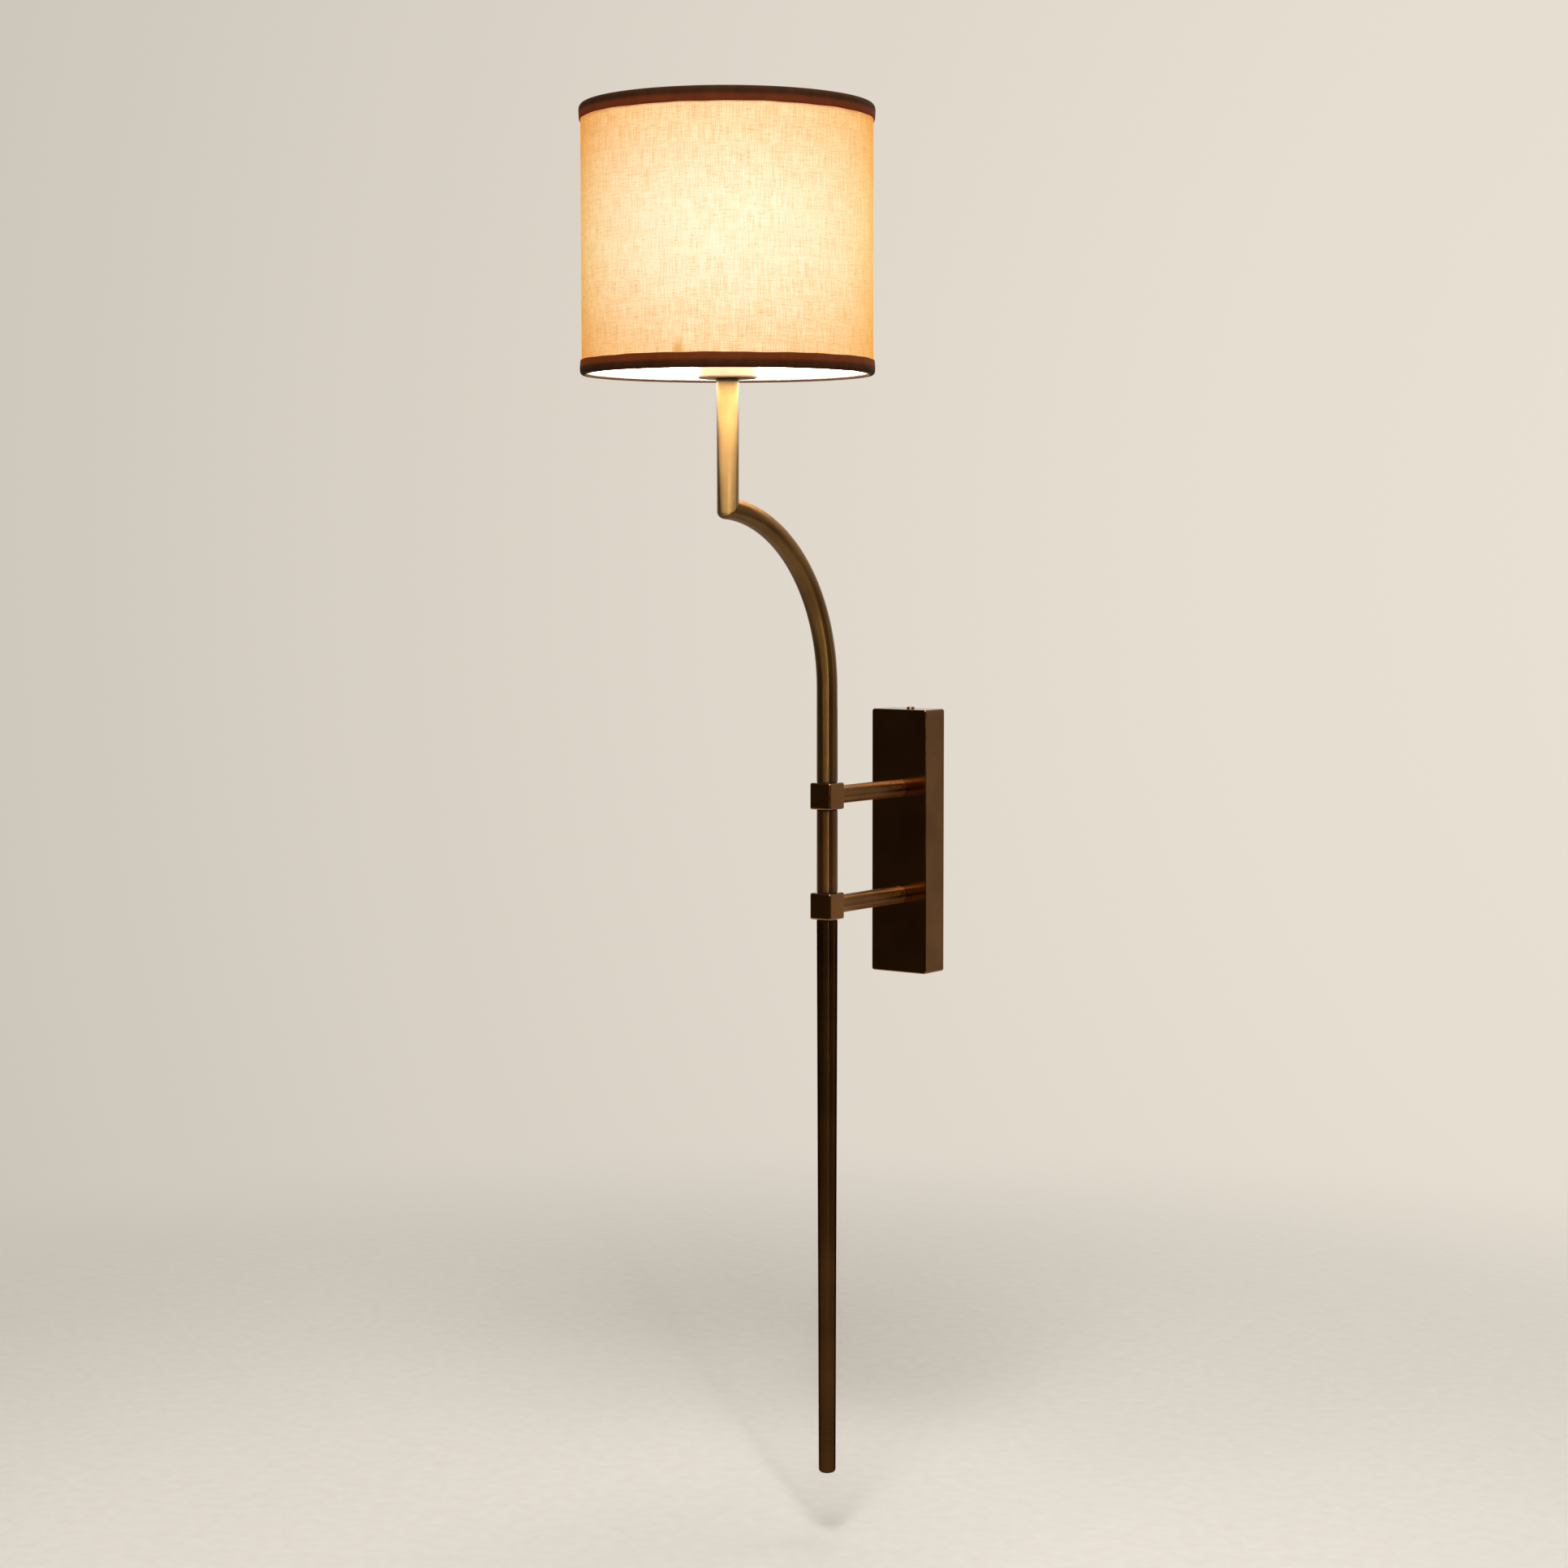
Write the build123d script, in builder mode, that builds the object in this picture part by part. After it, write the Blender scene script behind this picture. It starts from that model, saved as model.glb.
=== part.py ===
from build123d import *
import os
from math import acos, cos, degrees, radians, sin, sqrt, tan

# Frame in mm: the wall is the plane y = 0 and the room lies towards -Y.
# X runs to the right of a person facing the wall, Z is up, and the origin is the canopy centre.

# Canopy on the wall
canopy_width = 48.0
canopy_height = 195.0
canopy_depth = 24.0
canopy_wall = 1.5
canopy_corner = 2.0
canopy_edge = 0.8
canopy_slack = 0.25

# Strap that carries the canopy
strap_width = 30.0
strap_thick = 2.0
strap_tab = 15.0
strap_bend = 2.5
wall_screw_spacing = 120.0
wall_slot_length = 12.0
wall_slot_width = 5.0

# Terminals, earth and cable entry
terminal_width = 26.0
terminal_height = 16.0
terminal_depth = 14.0
terminal_pitch = 8.4
terminal_entry = 5.0
terminal_drop = 20.0
terminal_round = 1.0
pole_row = 4.0
pole_screw_length = 5.0
pole_slot = 0.6
pole_slot_depth = 1.0
sleeve_diameter = 5.0
sleeve_bore = 3.2
sleeve_inset = 1.0
cable_bore = 12.0
cable_drop = 21.0
grommet_wall = 2.0
grommet_lip = 1.5
earth_drop = 19.0
flex_diameter = 4.0
flex_bend = 8.0
flex_lead = 6.0

# Arms and swivel blocks
arm_spacing = 79.0
arm_diameter = 13.0
arm_socket = 1.5
swing_reach = 116.0
block_size = 18.0
block_height = 19.0
block_edge = 1.4
flex_hole = 6.0

# Spindle, bushes and swing stop
spindle_diameter = 10.0
spindle_bore = 6.0
flex_window = 2.0
bush_wall = 1.0
bush_length = 6.0
bush_flange = 0.8
bush_inset = 0.4
stop_groove = 1.5
stop_pin = 2.6
stop_key = 2.0
stop_key_depth = 1.6

# Rod, curved arm and tail
rod_diameter = 15.0
rod_wall = 1.5
arm_straight = 66.5
bend_radius = 127.0
riser_offset = 117.0
riser_length = 85.5
elbow_round = 5.0
plug_length = 18.0
tail_length = 403.0
tail_tip_diameter = 12.2
tail_tip_round = 2.6
tail_bore_spare = 1.0

# Lampholder
neck_thick = 2.1
neck_overhang = 0.3
cup_diameter = 41.0
cup_height = 27.7
cup_wall = 1.0
cup_floor = 1.2
cup_round = 1.5
holder_height = 15.7
holder_floor = 6.0
holder_slack = 1.0
holder_ledge = 2.0
skirt_height = 34.0
skirt_edge = 0.8
insert_height = 6.0
contact_diameter = 6.0
contact_height = 2.0
shell_wall = 0.6
shell_slack = 0.4
shell_height = 26.0
clamp_width = 5.0
clamp_height = 7.0
seat_thick = 2.4
grip_count = 24
grip_depth = 0.7

# Bulb
cap_diameter = 26.4
cap_height = 25.0
cap_taper = 5.0
bulb_diameter = 55.0
bulb_length = 98.0
bulb_seam = 14.0
bulb_wall = 1.2
body_step = 0.2
body_collar = 2.0

# Shade
shade_diameter = 200.0
shade_height = 180.0
skin_thick = 1.0
trim_thick = 1.2
trim_height = 10.0
trim_lip = 2.2
wire_diameter = 3.5
spoke_diameter = 3.0
spoke_count = 3
spoke_start = -72.0
spoke_bend = 10.0
fitter_thick = 2.0
fitter_land = 3.0
shade_lift = 28.0

# Screws, nipples and nuts
nipple_diameter = 10.0
nipple_bore = 7.0
nipple_grip = 14.0
nipple_stick = 1.5
nipple_inset = 1.0
nut_across = 14.0
nut_thick = 3.0
washer_diameter = 18.0
washer_thick = 1.0
screw_diameter = 4.0
screw_length = 9.0
screw_head = 6.0
screw_head_height = 1.3
screw_slot = 1.0
pole_screw_diameter = 3.0

# Clearances, each on the radius or along the axis
thread_gap = 0.05
press_gap = 0.05
run_gap = 0.05
end_gap = 0.10
hole_gap = 0.25
glue_gap = 0.05
pick_band = 0.01

# Derived places and radii
arm_heights = {"upper": arm_spacing / 2, "lower": -arm_spacing / 2}
upper_height = arm_heights["upper"]
lower_height = arm_heights["lower"]
arm_radius = arm_diameter / 2
nipple_radius = nipple_diameter / 2
screw_radius = screw_diameter / 2
rod_radius = rod_diameter / 2
rod_bore_radius = rod_radius - rod_wall
spindle_radius = spindle_diameter / 2
bush_radius = spindle_radius + run_gap + bush_wall
block_bore_radius = bush_radius + press_gap
block_back = swing_reach - block_size / 2
chamber_height = block_height - 2 * bush_length
strap_height = canopy_height - 2 * (canopy_wall + canopy_slack)
tab_screw_depth = (strap_thick + strap_tab) / 2
canopy_inside = canopy_depth - canopy_wall
nipple_end = canopy_inside - washer_thick - nut_thick - nipple_stick
terminal_height_centre = upper_height - terminal_drop
terminal_top = terminal_height_centre + terminal_height / 2
cable_height = terminal_height_centre - cable_drop
earth_height = cable_height - earth_drop
flex_depth = strap_thick + terminal_entry
rod_foot = arm_spacing / 2 + block_height / 2 + bush_flange + end_gap
rod_gap = arm_spacing / 2 - block_height / 2 - bush_flange - end_gap
bend_height = rod_foot + arm_straight
bend_angle = acos(1 - riser_offset / bend_radius)
lamp_reach = swing_reach + riser_offset
elbow_height = bend_height + bend_radius * sin(bend_angle)
riser_top = elbow_height + riser_length
elbow_inset = rod_radius - elbow_round
elbow_drop = elbow_inset * tan(bend_angle / 2)
cup_height_low = riser_top + neck_thick
cup_height_in = cup_height_low + cup_floor
holder_low = cup_height_in + nut_thick
holder_radius = cup_diameter / 2 - cup_wall - holder_slack
skirt_low = holder_low + holder_height
cap_radius = cap_diameter / 2
shell_radius = cap_radius + shell_slack + shell_wall
skirt_bore_radius = shell_radius + press_gap
insert_top = skirt_low + insert_height
bulb_low = insert_top + contact_height
cap_top = bulb_low + cap_height + end_gap
bulb_centre = bulb_low + bulb_length - bulb_diameter / 2
bulb_seam_radius = sqrt((bulb_diameter / 2) ** 2 - bulb_seam ** 2)
seat_low = cup_height_low + cup_height + end_gap
clamp_radius = holder_radius + clamp_width
fitter_low = seat_low + seat_thick
clamp_low = fitter_low + fitter_thick + end_gap
fitter_radius = clamp_radius + fitter_land
shade_low = fitter_low - shade_lift
shade_top = shade_low + shade_height
skin_radius = shade_diameter / 2 - trim_thick - glue_gap
wire_radius = wire_diameter / 2
ring_radius = skin_radius - skin_thick - glue_gap - wire_radius
lip_radius = ring_radius - wire_radius - glue_gap
edge_margin = trim_thick + glue_gap

swing_axis = Axis((0, -swing_reach, 0), (0, 0, 1))
lamp_axis = Axis((0, -lamp_reach, 0), (0, 0, 1))
mitre = Plane(
    origin=(0, -lamp_reach, elbow_height),
    x_dir=(1, 0, 0),
    z_dir=(0, -sin(bend_angle), cos(bend_angle) + 1),
)
elbow_plane = Plane(
    origin=(0, -lamp_reach - elbow_inset, elbow_height - elbow_drop),
    x_dir=(1, 0, 0),
    z_dir=(0, 0, 1),
)
elbow_axis = Axis(elbow_plane.origin, (1, 0, 0))


def wall_plane(depth, height=0):
    """Plane parallel to the wall, at a depth into the room, facing the room."""
    return Plane(origin=(0, -depth, height), x_dir=(1, 0, 0), z_dir=(0, -1, 0))


def swing_plane(height, up=1):
    """Level plane on the swing axis."""
    return Plane(origin=(0, -swing_reach, height), x_dir=(1, 0, 0), z_dir=(0, 0, up))


def lamp_plane(height):
    """Level plane on the axis of the riser, the lampholder and the shade."""
    return Plane(origin=(0, -lamp_reach, height), x_dir=(1, 0, 0), z_dir=(0, 0, 1))


def lamp_section():
    """Upright plane through the lamp axis, with its own x as the radius and y as the height."""
    return Plane(origin=(0, -lamp_reach, 0), x_dir=(1, 0, 0), z_dir=(0, -1, 0))


def disc(plane, radius, height, mode=Mode.ADD):
    """Solid cylinder standing on a plane."""
    with BuildSketch(plane) as outline:
        Circle(radius)
    extrude(outline.sketch, amount=height, mode=mode)


def tube(plane, radius, bore, height):
    """Ring or tube standing on a plane."""
    with BuildSketch(plane) as outline:
        Circle(radius)
        Circle(bore, mode=Mode.SUBTRACT)
    extrude(outline.sketch, amount=height)


def hex_nut(plane):
    """Nut for the hollow nipples."""
    with BuildSketch(plane) as outline:
        RegularPolygon(nut_across / 2, 6, major_radius=False)
        Circle(nipple_radius + thread_gap, mode=Mode.SUBTRACT)
    extrude(outline.sketch, amount=nut_thick)


def dome_screw(plane, length):
    """Slotted dome-head screw: the plane is the seat and its normal points out of the head."""
    disc(plane, screw_radius, -length)
    disc(plane, screw_head / 2, screw_head_height)
    top = plane.offset(screw_head_height)
    rim = edges(Select.LAST).filter_by(GeomType.CIRCLE).sort_by(lambda e: e.distance_to(top.origin))[0]
    fillet(rim, radius=screw_head_height * 0.8)
    with BuildSketch(top) as slot:
        Rectangle(2 * screw_head, screw_slot)
    extrude(slot.sketch, amount=-screw_head_height / 2, mode=Mode.SUBTRACT)


def save(builder, label):
    """Label a finished piece and write its file."""
    builder.part.label = label
    export_step(builder.part, f"parts/{label}.step")


os.makedirs("parts", exist_ok=True)

# Canopy
with BuildPart() as canopy:
    with BuildSketch(wall_plane(0)):
        Rectangle(canopy_width, canopy_height)
    extrude(amount=canopy_depth)
    fillet(edges().filter_by(Axis.Y), radius=canopy_corner)
    fillet(faces().sort_by(Axis.Y)[0].edges(), radius=canopy_edge)
    with BuildSketch(wall_plane(0)):
        Rectangle(canopy_width - 2 * canopy_wall, canopy_height - 2 * canopy_wall)
    extrude(amount=canopy_inside, mode=Mode.SUBTRACT)
    with BuildSketch(wall_plane(canopy_inside)):
        with Locations((0, upper_height), (0, lower_height)):
            Circle(nipple_radius + hole_gap)
    extrude(amount=canopy_wall, mode=Mode.SUBTRACT)
    with BuildSketch(Plane.XY):
        with Locations((0, -tab_screw_depth)):
            Circle(screw_radius + hole_gap)
    extrude(amount=canopy_height, both=True, mode=Mode.SUBTRACT)
save(canopy, "canopy")

# Wall strap with its two bent tabs
with BuildPart() as wall_strap:
    with BuildSketch(Plane.YZ):
        with Locations((-strap_tab / 2, 0)):
            Rectangle(strap_tab, strap_height)
        with Locations((-strap_tab / 2 - strap_thick, 0)):
            Rectangle(strap_tab, strap_height - 2 * strap_thick, mode=Mode.SUBTRACT)
    extrude(amount=strap_width / 2, both=True)
    back_edges = faces().sort_by(Axis.Y)[-1].edges().filter_by(Axis.X)
    fillet(back_edges, radius=strap_bend)
    with BuildSketch(wall_plane(0)):
        with Locations((0, wall_screw_spacing / 2), (0, -wall_screw_spacing / 2)):
            SlotOverall(wall_slot_length, wall_slot_width, rotation=90)
        with Locations((0, cable_height)):
            Circle(cable_bore / 2 + grommet_wall + press_gap)
        with Locations((0, earth_height)):
            Circle(screw_radius + thread_gap)
        with Locations((0, terminal_height_centre)):
            Circle(pole_screw_diameter / 2 + thread_gap)
    extrude(amount=strap_thick, mode=Mode.SUBTRACT)
    with BuildSketch(Plane.XY):
        with Locations((0, -tab_screw_depth)):
            Circle(screw_radius + thread_gap)
    extrude(amount=canopy_height, both=True, mode=Mode.SUBTRACT)
save(wall_strap, "wall_strap")

# Screws that hold the canopy on the strap
with BuildPart() as canopy_screws:
    for up in (1, -1):
        seat = Plane(
            origin=(0, -tab_screw_depth, up * canopy_height / 2), x_dir=(1, 0, 0), z_dir=(0, 0, up)
        )
        dome_screw(seat, screw_length)
save(canopy_screws, "canopy_screws")

# Grommet in the cable hole of the strap
with BuildPart() as cable_grommet:
    grommet_plane = wall_plane(0, cable_height)
    tube(grommet_plane, cable_bore / 2 + grommet_wall, cable_bore / 2, strap_thick)
    tube(
        grommet_plane.offset(strap_thick),
        cable_bore / 2 + grommet_wall + grommet_lip,
        cable_bore / 2,
        grommet_lip,
    )
save(cable_grommet, "cable_grommet")

# Earth screw on the strap
with BuildPart() as earth_screw:
    earth_plane = wall_plane(strap_thick, earth_height)
    dome_screw(earth_plane, strap_thick)
save(earth_screw, "earth_screw")

# Terminal block, its sleeves and its screws
terminal_plane = wall_plane(strap_thick, terminal_height_centre)
pole_places = [terminal_pitch * place for place in (-1, 0, 1)]
pole_screw_places = [(place, row) for place in pole_places for row in (-pole_row, pole_row)]
pole_screw_seat = terminal_plane.offset(terminal_entry + sleeve_diameter / 2 + press_gap)
with BuildPart() as terminal_block:
    with BuildSketch(terminal_plane):
        Rectangle(terminal_width, terminal_height)
    extrude(amount=terminal_depth)
    fillet(edges().filter_by(Axis.Y), radius=terminal_round)
    with BuildSketch(Plane.XY.offset(terminal_height_centre)):
        with Locations([(place, -flex_depth) for place in pole_places]):
            Circle(sleeve_diameter / 2 + press_gap)
    extrude(amount=terminal_height, both=True, mode=Mode.SUBTRACT)
    with BuildSketch(terminal_plane.offset(terminal_entry)):
        with Locations(pole_screw_places):
            Circle(pole_screw_diameter / 2 + thread_gap)
    extrude(amount=terminal_depth, mode=Mode.SUBTRACT)
save(terminal_block, "terminal_block")

with BuildPart() as terminal_sleeves:
    with BuildSketch(Plane.XY.offset(terminal_height_centre)):
        with Locations([(place, -flex_depth) for place in pole_places]):
            Circle(sleeve_diameter / 2)
            Circle(sleeve_bore / 2, mode=Mode.SUBTRACT)
    extrude(amount=terminal_height / 2 - sleeve_inset, both=True)
save(terminal_sleeves, "terminal_sleeves")

with BuildPart() as terminal_screws:
    with BuildSketch(pole_screw_seat):
        with Locations(pole_screw_places):
            Circle(pole_screw_diameter / 2)
    extrude(amount=pole_screw_length)
    with BuildSketch(pole_screw_seat.offset(pole_screw_length)):
        with Locations(pole_screw_places):
            Rectangle(pole_screw_diameter, pole_slot)
    extrude(amount=-pole_slot_depth, mode=Mode.SUBTRACT)
save(terminal_screws, "terminal_screws")

# Fixed arms, one above the other
for side, height in arm_heights.items():
    with BuildPart() as fixed_arm:
        root = wall_plane(canopy_depth, height)
        tube(root, arm_radius, nipple_radius + thread_gap, block_back + arm_socket - canopy_depth)
    save(fixed_arm, f"{side}_arm")

# Hollow nipples, washers and nuts that hold the arms in the canopy
with BuildPart() as arm_nipples:
    for height in arm_heights.values():
        start = wall_plane(nipple_end, height)
        tube(start, nipple_radius, nipple_bore / 2, canopy_depth + nipple_grip - nipple_end)
save(arm_nipples, "arm_nipples")

with BuildPart() as arm_washers:
    for height in arm_heights.values():
        start = wall_plane(canopy_inside - washer_thick, height)
        tube(start, washer_diameter / 2, nipple_radius + hole_gap, washer_thick)
save(arm_washers, "arm_washers")

with BuildPart() as arm_nuts:
    for height in arm_heights.values():
        hex_nut(wall_plane(canopy_inside - washer_thick - nut_thick, height))
save(arm_nuts, "arm_nuts")

# Swivel blocks: the upper one lets the flex through, the lower one takes the stop screw
for side, height in arm_heights.items():
    with BuildPart() as block:
        with BuildSketch(swing_plane(height - block_height / 2)):
            Rectangle(block_size, block_size)
        extrude(amount=block_height)
        fillet(edges(), radius=block_edge)
        disc(swing_plane(height - block_height / 2), block_bore_radius, block_height, Mode.SUBTRACT)
        socket = wall_plane(block_back, height)
        disc(socket, arm_radius + press_gap, arm_socket, Mode.SUBTRACT)
        if side == "upper":
            disc(socket, flex_hole / 2, block_size / 2, Mode.SUBTRACT)
        else:
            stop_plane = Plane(
                origin=(-block_size / 2, -swing_reach, height), x_dir=(0, 1, 0), z_dir=(1, 0, 0)
            )
            disc(stop_plane, screw_radius + thread_gap, block_size / 2, Mode.SUBTRACT)
    save(block, f"{side}_block")

# Flanged bushes, one from each end of each block
with BuildPart() as swivel_bushes:
    for height in arm_heights.values():
        for up in (1, -1):
            mouth = swing_plane(height + up * block_height / 2, up)
            tube(mouth, rod_radius - bush_inset, spindle_radius + run_gap, bush_flange)
            tube(mouth, bush_radius, spindle_radius + run_gap, -bush_length)
save(swivel_bushes, "swivel_bushes")

# Stop screw with a round point that runs in the groove of the spindle
with BuildPart() as stop_screw:
    point_end = block_size / 2 - (spindle_radius - stop_groove + end_gap)
    thread_end = block_size / 2 - block_bore_radius
    disc(stop_plane, screw_radius, thread_end)
    disc(stop_plane, stop_pin / 2, point_end)
    with BuildSketch(stop_plane):
        RegularPolygon(stop_key / 2, 6, major_radius=False)
    extrude(amount=stop_key_depth, mode=Mode.SUBTRACT)
save(stop_screw, "stop_screw")

# Spindle: hollow above the flex slot, with the stop groove round its left half
with BuildPart() as spindle:
    spindle_low = -rod_foot - plug_length
    disc(swing_plane(spindle_low), spindle_radius, 2 * (rod_foot + plug_length))
    slot_low = upper_height - chamber_height / 2
    disc(swing_plane(slot_low), spindle_bore / 2, rod_foot + plug_length - slot_low, Mode.SUBTRACT)
    with BuildSketch(swing_plane(slot_low)):
        with Locations((0, -flex_window)):
            Rectangle(2 * spindle_diameter, spindle_diameter, align=(Align.CENTER, Align.MIN))
    extrude(amount=chamber_height, mode=Mode.SUBTRACT)
    with BuildSketch(swing_plane(lower_height - stop_pin / 2 - end_gap)):
        Circle(spindle_radius)
        Circle(spindle_radius - stop_groove, mode=Mode.SUBTRACT)
        with Locations((stop_pin / 2 + end_gap - spindle_radius, 0)):
            Rectangle(2 * spindle_radius, 3 * spindle_radius, mode=Mode.INTERSECT)
    extrude(amount=stop_pin + 2 * end_gap, mode=Mode.SUBTRACT)
save(spindle, "spindle")

# Tube between the blocks
with BuildPart() as middle_tube:
    tube(swing_plane(-rod_gap), rod_radius, spindle_radius + press_gap, 2 * rod_gap)
save(middle_tube, "middle_tube")

# Tapering tail under the lower block
with BuildPart() as tail_rod:
    tail_tip = -rod_foot - tail_length
    tail_section = Plane(origin=(0, -swing_reach, 0), x_dir=(1, 0, 0), z_dir=(0, -1, 0))
    with BuildSketch(tail_section):
        with BuildLine():
            Polyline(
                (0, -rod_foot),
                (rod_radius, -rod_foot),
                (tail_tip_diameter / 2, tail_tip),
                (0, tail_tip),
                close=True,
            )
        make_face()
    revolve(axis=swing_axis)
    fillet(edges().sort_by(Axis.Z)[0], radius=tail_tip_round)
    disc(swing_plane(-rod_foot), spindle_radius + press_gap, -plug_length - tail_bore_spare, Mode.SUBTRACT)
save(tail_rod, "tail_rod")

# Outer corner of the elbow: the sector to clear, and the turned tube wall that fills it
with BuildPart() as elbow_sector:
    with BuildSketch(elbow_plane):
        Rectangle(2 * rod_diameter, 2 * rod_diameter, align=(Align.CENTER, Align.MAX))
    revolve(axis=elbow_axis, revolution_arc=degrees(bend_angle))

with BuildPart() as elbow_wall:
    with BuildSketch(elbow_plane):
        with Locations((0, elbow_inset)):
            Circle(rod_radius)
            Circle(rod_bore_radius, mode=Mode.SUBTRACT)
        Rectangle(
            2 * rod_diameter,
            2 * rod_diameter,
            align=(Align.CENTER, Align.MAX),
            mode=Mode.INTERSECT,
        )
    revolve(axis=elbow_axis, revolution_arc=degrees(bend_angle))

# Curved arm, cut on the mitre plane of the elbow
with BuildPart() as curved_arm:
    with BuildLine(Plane.YZ) as arm_path:
        Line((-swing_reach, rod_foot), (-swing_reach, bend_height))
        bend = CenterArc(
            (-swing_reach - bend_radius, bend_height), bend_radius, 0, degrees(bend_angle)
        )
        Line(bend @ 1, bend @ 1 + (bend % 1) * rod_diameter)
    with BuildSketch(swing_plane(rod_foot)):
        Circle(rod_radius)
        Circle(rod_bore_radius, mode=Mode.SUBTRACT)
    sweep(path=arm_path.line)
    add(elbow_sector.part, mode=Mode.SUBTRACT)
    add(elbow_wall.part)
    split(bisect_by=mitre, keep=Keep.BOTTOM)
save(curved_arm, "curved_arm")

with BuildPart() as arm_plug:
    tube(swing_plane(rod_foot), rod_bore_radius - press_gap, spindle_radius + thread_gap, plug_length)
save(arm_plug, "arm_plug")

# Riser tube, cut on the same mitre plane, and its plug
with BuildPart() as riser_tube:
    tube(lamp_plane(elbow_height - rod_diameter), rod_radius, rod_bore_radius, riser_length + rod_diameter)
    add(elbow_sector.part, mode=Mode.SUBTRACT)
    add(elbow_wall.part)
    split(bisect_by=mitre, keep=Keep.TOP)
save(riser_tube, "riser_tube")

with BuildPart() as riser_plug:
    tube(lamp_plane(riser_top), rod_bore_radius - press_gap, nipple_radius + thread_gap, -nipple_grip)
save(riser_plug, "riser_plug")

# Neck washer, hollow nipple, socket cup and its nut
with BuildPart() as neck_washer:
    tube(lamp_plane(riser_top), rod_radius + neck_overhang, nipple_radius + hole_gap, neck_thick)
save(neck_washer, "neck_washer")

with BuildPart() as holder_nipple:
    nipple_low = riser_top - nipple_grip
    nipple_high = holder_low + holder_floor - nipple_inset
    tube(lamp_plane(nipple_low), nipple_radius, nipple_bore / 2, nipple_high - nipple_low)
save(holder_nipple, "holder_nipple")

with BuildPart() as socket_cup:
    disc(lamp_plane(cup_height_low), cup_diameter / 2, cup_height)
    fillet(edges().sort_by(Axis.Z)[0], radius=cup_round)
    disc(lamp_plane(cup_height_in), cup_diameter / 2 - cup_wall, cup_height, Mode.SUBTRACT)
    fillet(edges().filter_by(GeomType.CIRCLE).group_by(Axis.Z)[-1], radius=cup_wall * 0.4)
    disc(lamp_plane(cup_height_low), nipple_radius + hole_gap, cup_height, Mode.SUBTRACT)
save(socket_cup, "socket_cup")

with BuildPart() as cup_nut:
    hex_nut(lamp_plane(cup_height_in))
save(cup_nut, "cup_nut")

# Lampholder
with BuildPart() as holder_base:
    disc(lamp_plane(holder_low), holder_radius, holder_height)
    fillet(edges().sort_by(Axis.Z)[0], radius=cup_round)
    well_radius = skirt_bore_radius - holder_ledge
    disc(lamp_plane(holder_low + holder_floor), well_radius, holder_height, Mode.SUBTRACT)
    disc(lamp_plane(holder_low), nipple_radius + thread_gap, holder_floor, Mode.SUBTRACT)
save(holder_base, "holder_base")

with BuildPart() as holder_insert:
    disc(lamp_plane(skirt_low), skirt_bore_radius - press_gap, insert_height)
save(holder_insert, "holder_insert")

with BuildPart() as centre_contact:
    disc(lamp_plane(insert_top), contact_diameter / 2, contact_height)
    fillet(edges().group_by(Axis.Z)[-1], radius=contact_height * 0.4)
save(centre_contact, "centre_contact")

with BuildPart() as screw_shell:
    tube(lamp_plane(insert_top), shell_radius, shell_radius - shell_wall, shell_height)
save(screw_shell, "screw_shell")

with BuildPart() as holder_skirt:
    disc(lamp_plane(skirt_low), holder_radius, skirt_height)
    chamfer(edges().group_by(Axis.Z)[-1], length=skirt_edge)
    disc(lamp_plane(seat_low), clamp_radius, seat_thick)
    disc(lamp_plane(skirt_low), skirt_bore_radius, skirt_height, Mode.SUBTRACT)
save(holder_skirt, "holder_skirt")

with BuildPart() as clamp_ring:
    tube(lamp_plane(clamp_low), clamp_radius, holder_radius + thread_gap, clamp_height)
    with BuildSketch(lamp_plane(clamp_low)):
        with PolarLocations(clamp_radius + grip_depth, grip_count):
            Circle(2 * grip_depth)
    extrude(amount=clamp_height, mode=Mode.SUBTRACT)
save(clamp_ring, "clamp_ring")

# Bulb
with BuildPart() as bulb_cap:
    disc(lamp_plane(bulb_low + end_gap), cap_radius, cap_height)
    chamfer(edges().group_by(Axis.Z)[0], length=cap_taper)
save(bulb_cap, "bulb_cap")

with BuildPart() as bulb_body:
    with BuildSketch(lamp_section()):
        with BuildLine():
            Polyline(
                (0, cap_top),
                (cap_radius - body_step, cap_top),
                (cap_radius, cap_top + body_collar),
                (bulb_seam_radius, bulb_centre - bulb_seam),
                (0, bulb_centre - bulb_seam),
                close=True,
            )
        make_face()
    revolve(axis=lamp_axis)
save(bulb_body, "bulb_body")

with BuildPart() as bulb_globe:
    with Locations((0, -lamp_reach, bulb_centre)):
        Sphere(bulb_diameter / 2)
        Sphere(bulb_diameter / 2 - bulb_wall, mode=Mode.SUBTRACT)
    split(bisect_by=lamp_plane(bulb_centre - bulb_seam), keep=Keep.TOP)
save(bulb_globe, "bulb_globe")

# Shade skin and its wire ring at the top
with BuildPart() as shade_skin:
    tube(
        lamp_plane(shade_low + edge_margin),
        skin_radius,
        skin_radius - skin_thick,
        shade_height - 2 * edge_margin,
    )
save(shade_skin, "shade_skin")

with BuildPart() as shade_top_ring:
    with Locations((0, -lamp_reach, shade_top - edge_margin - wire_radius)):
        Torus(ring_radius, wire_radius)
save(shade_top_ring, "shade_top_ring")

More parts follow.
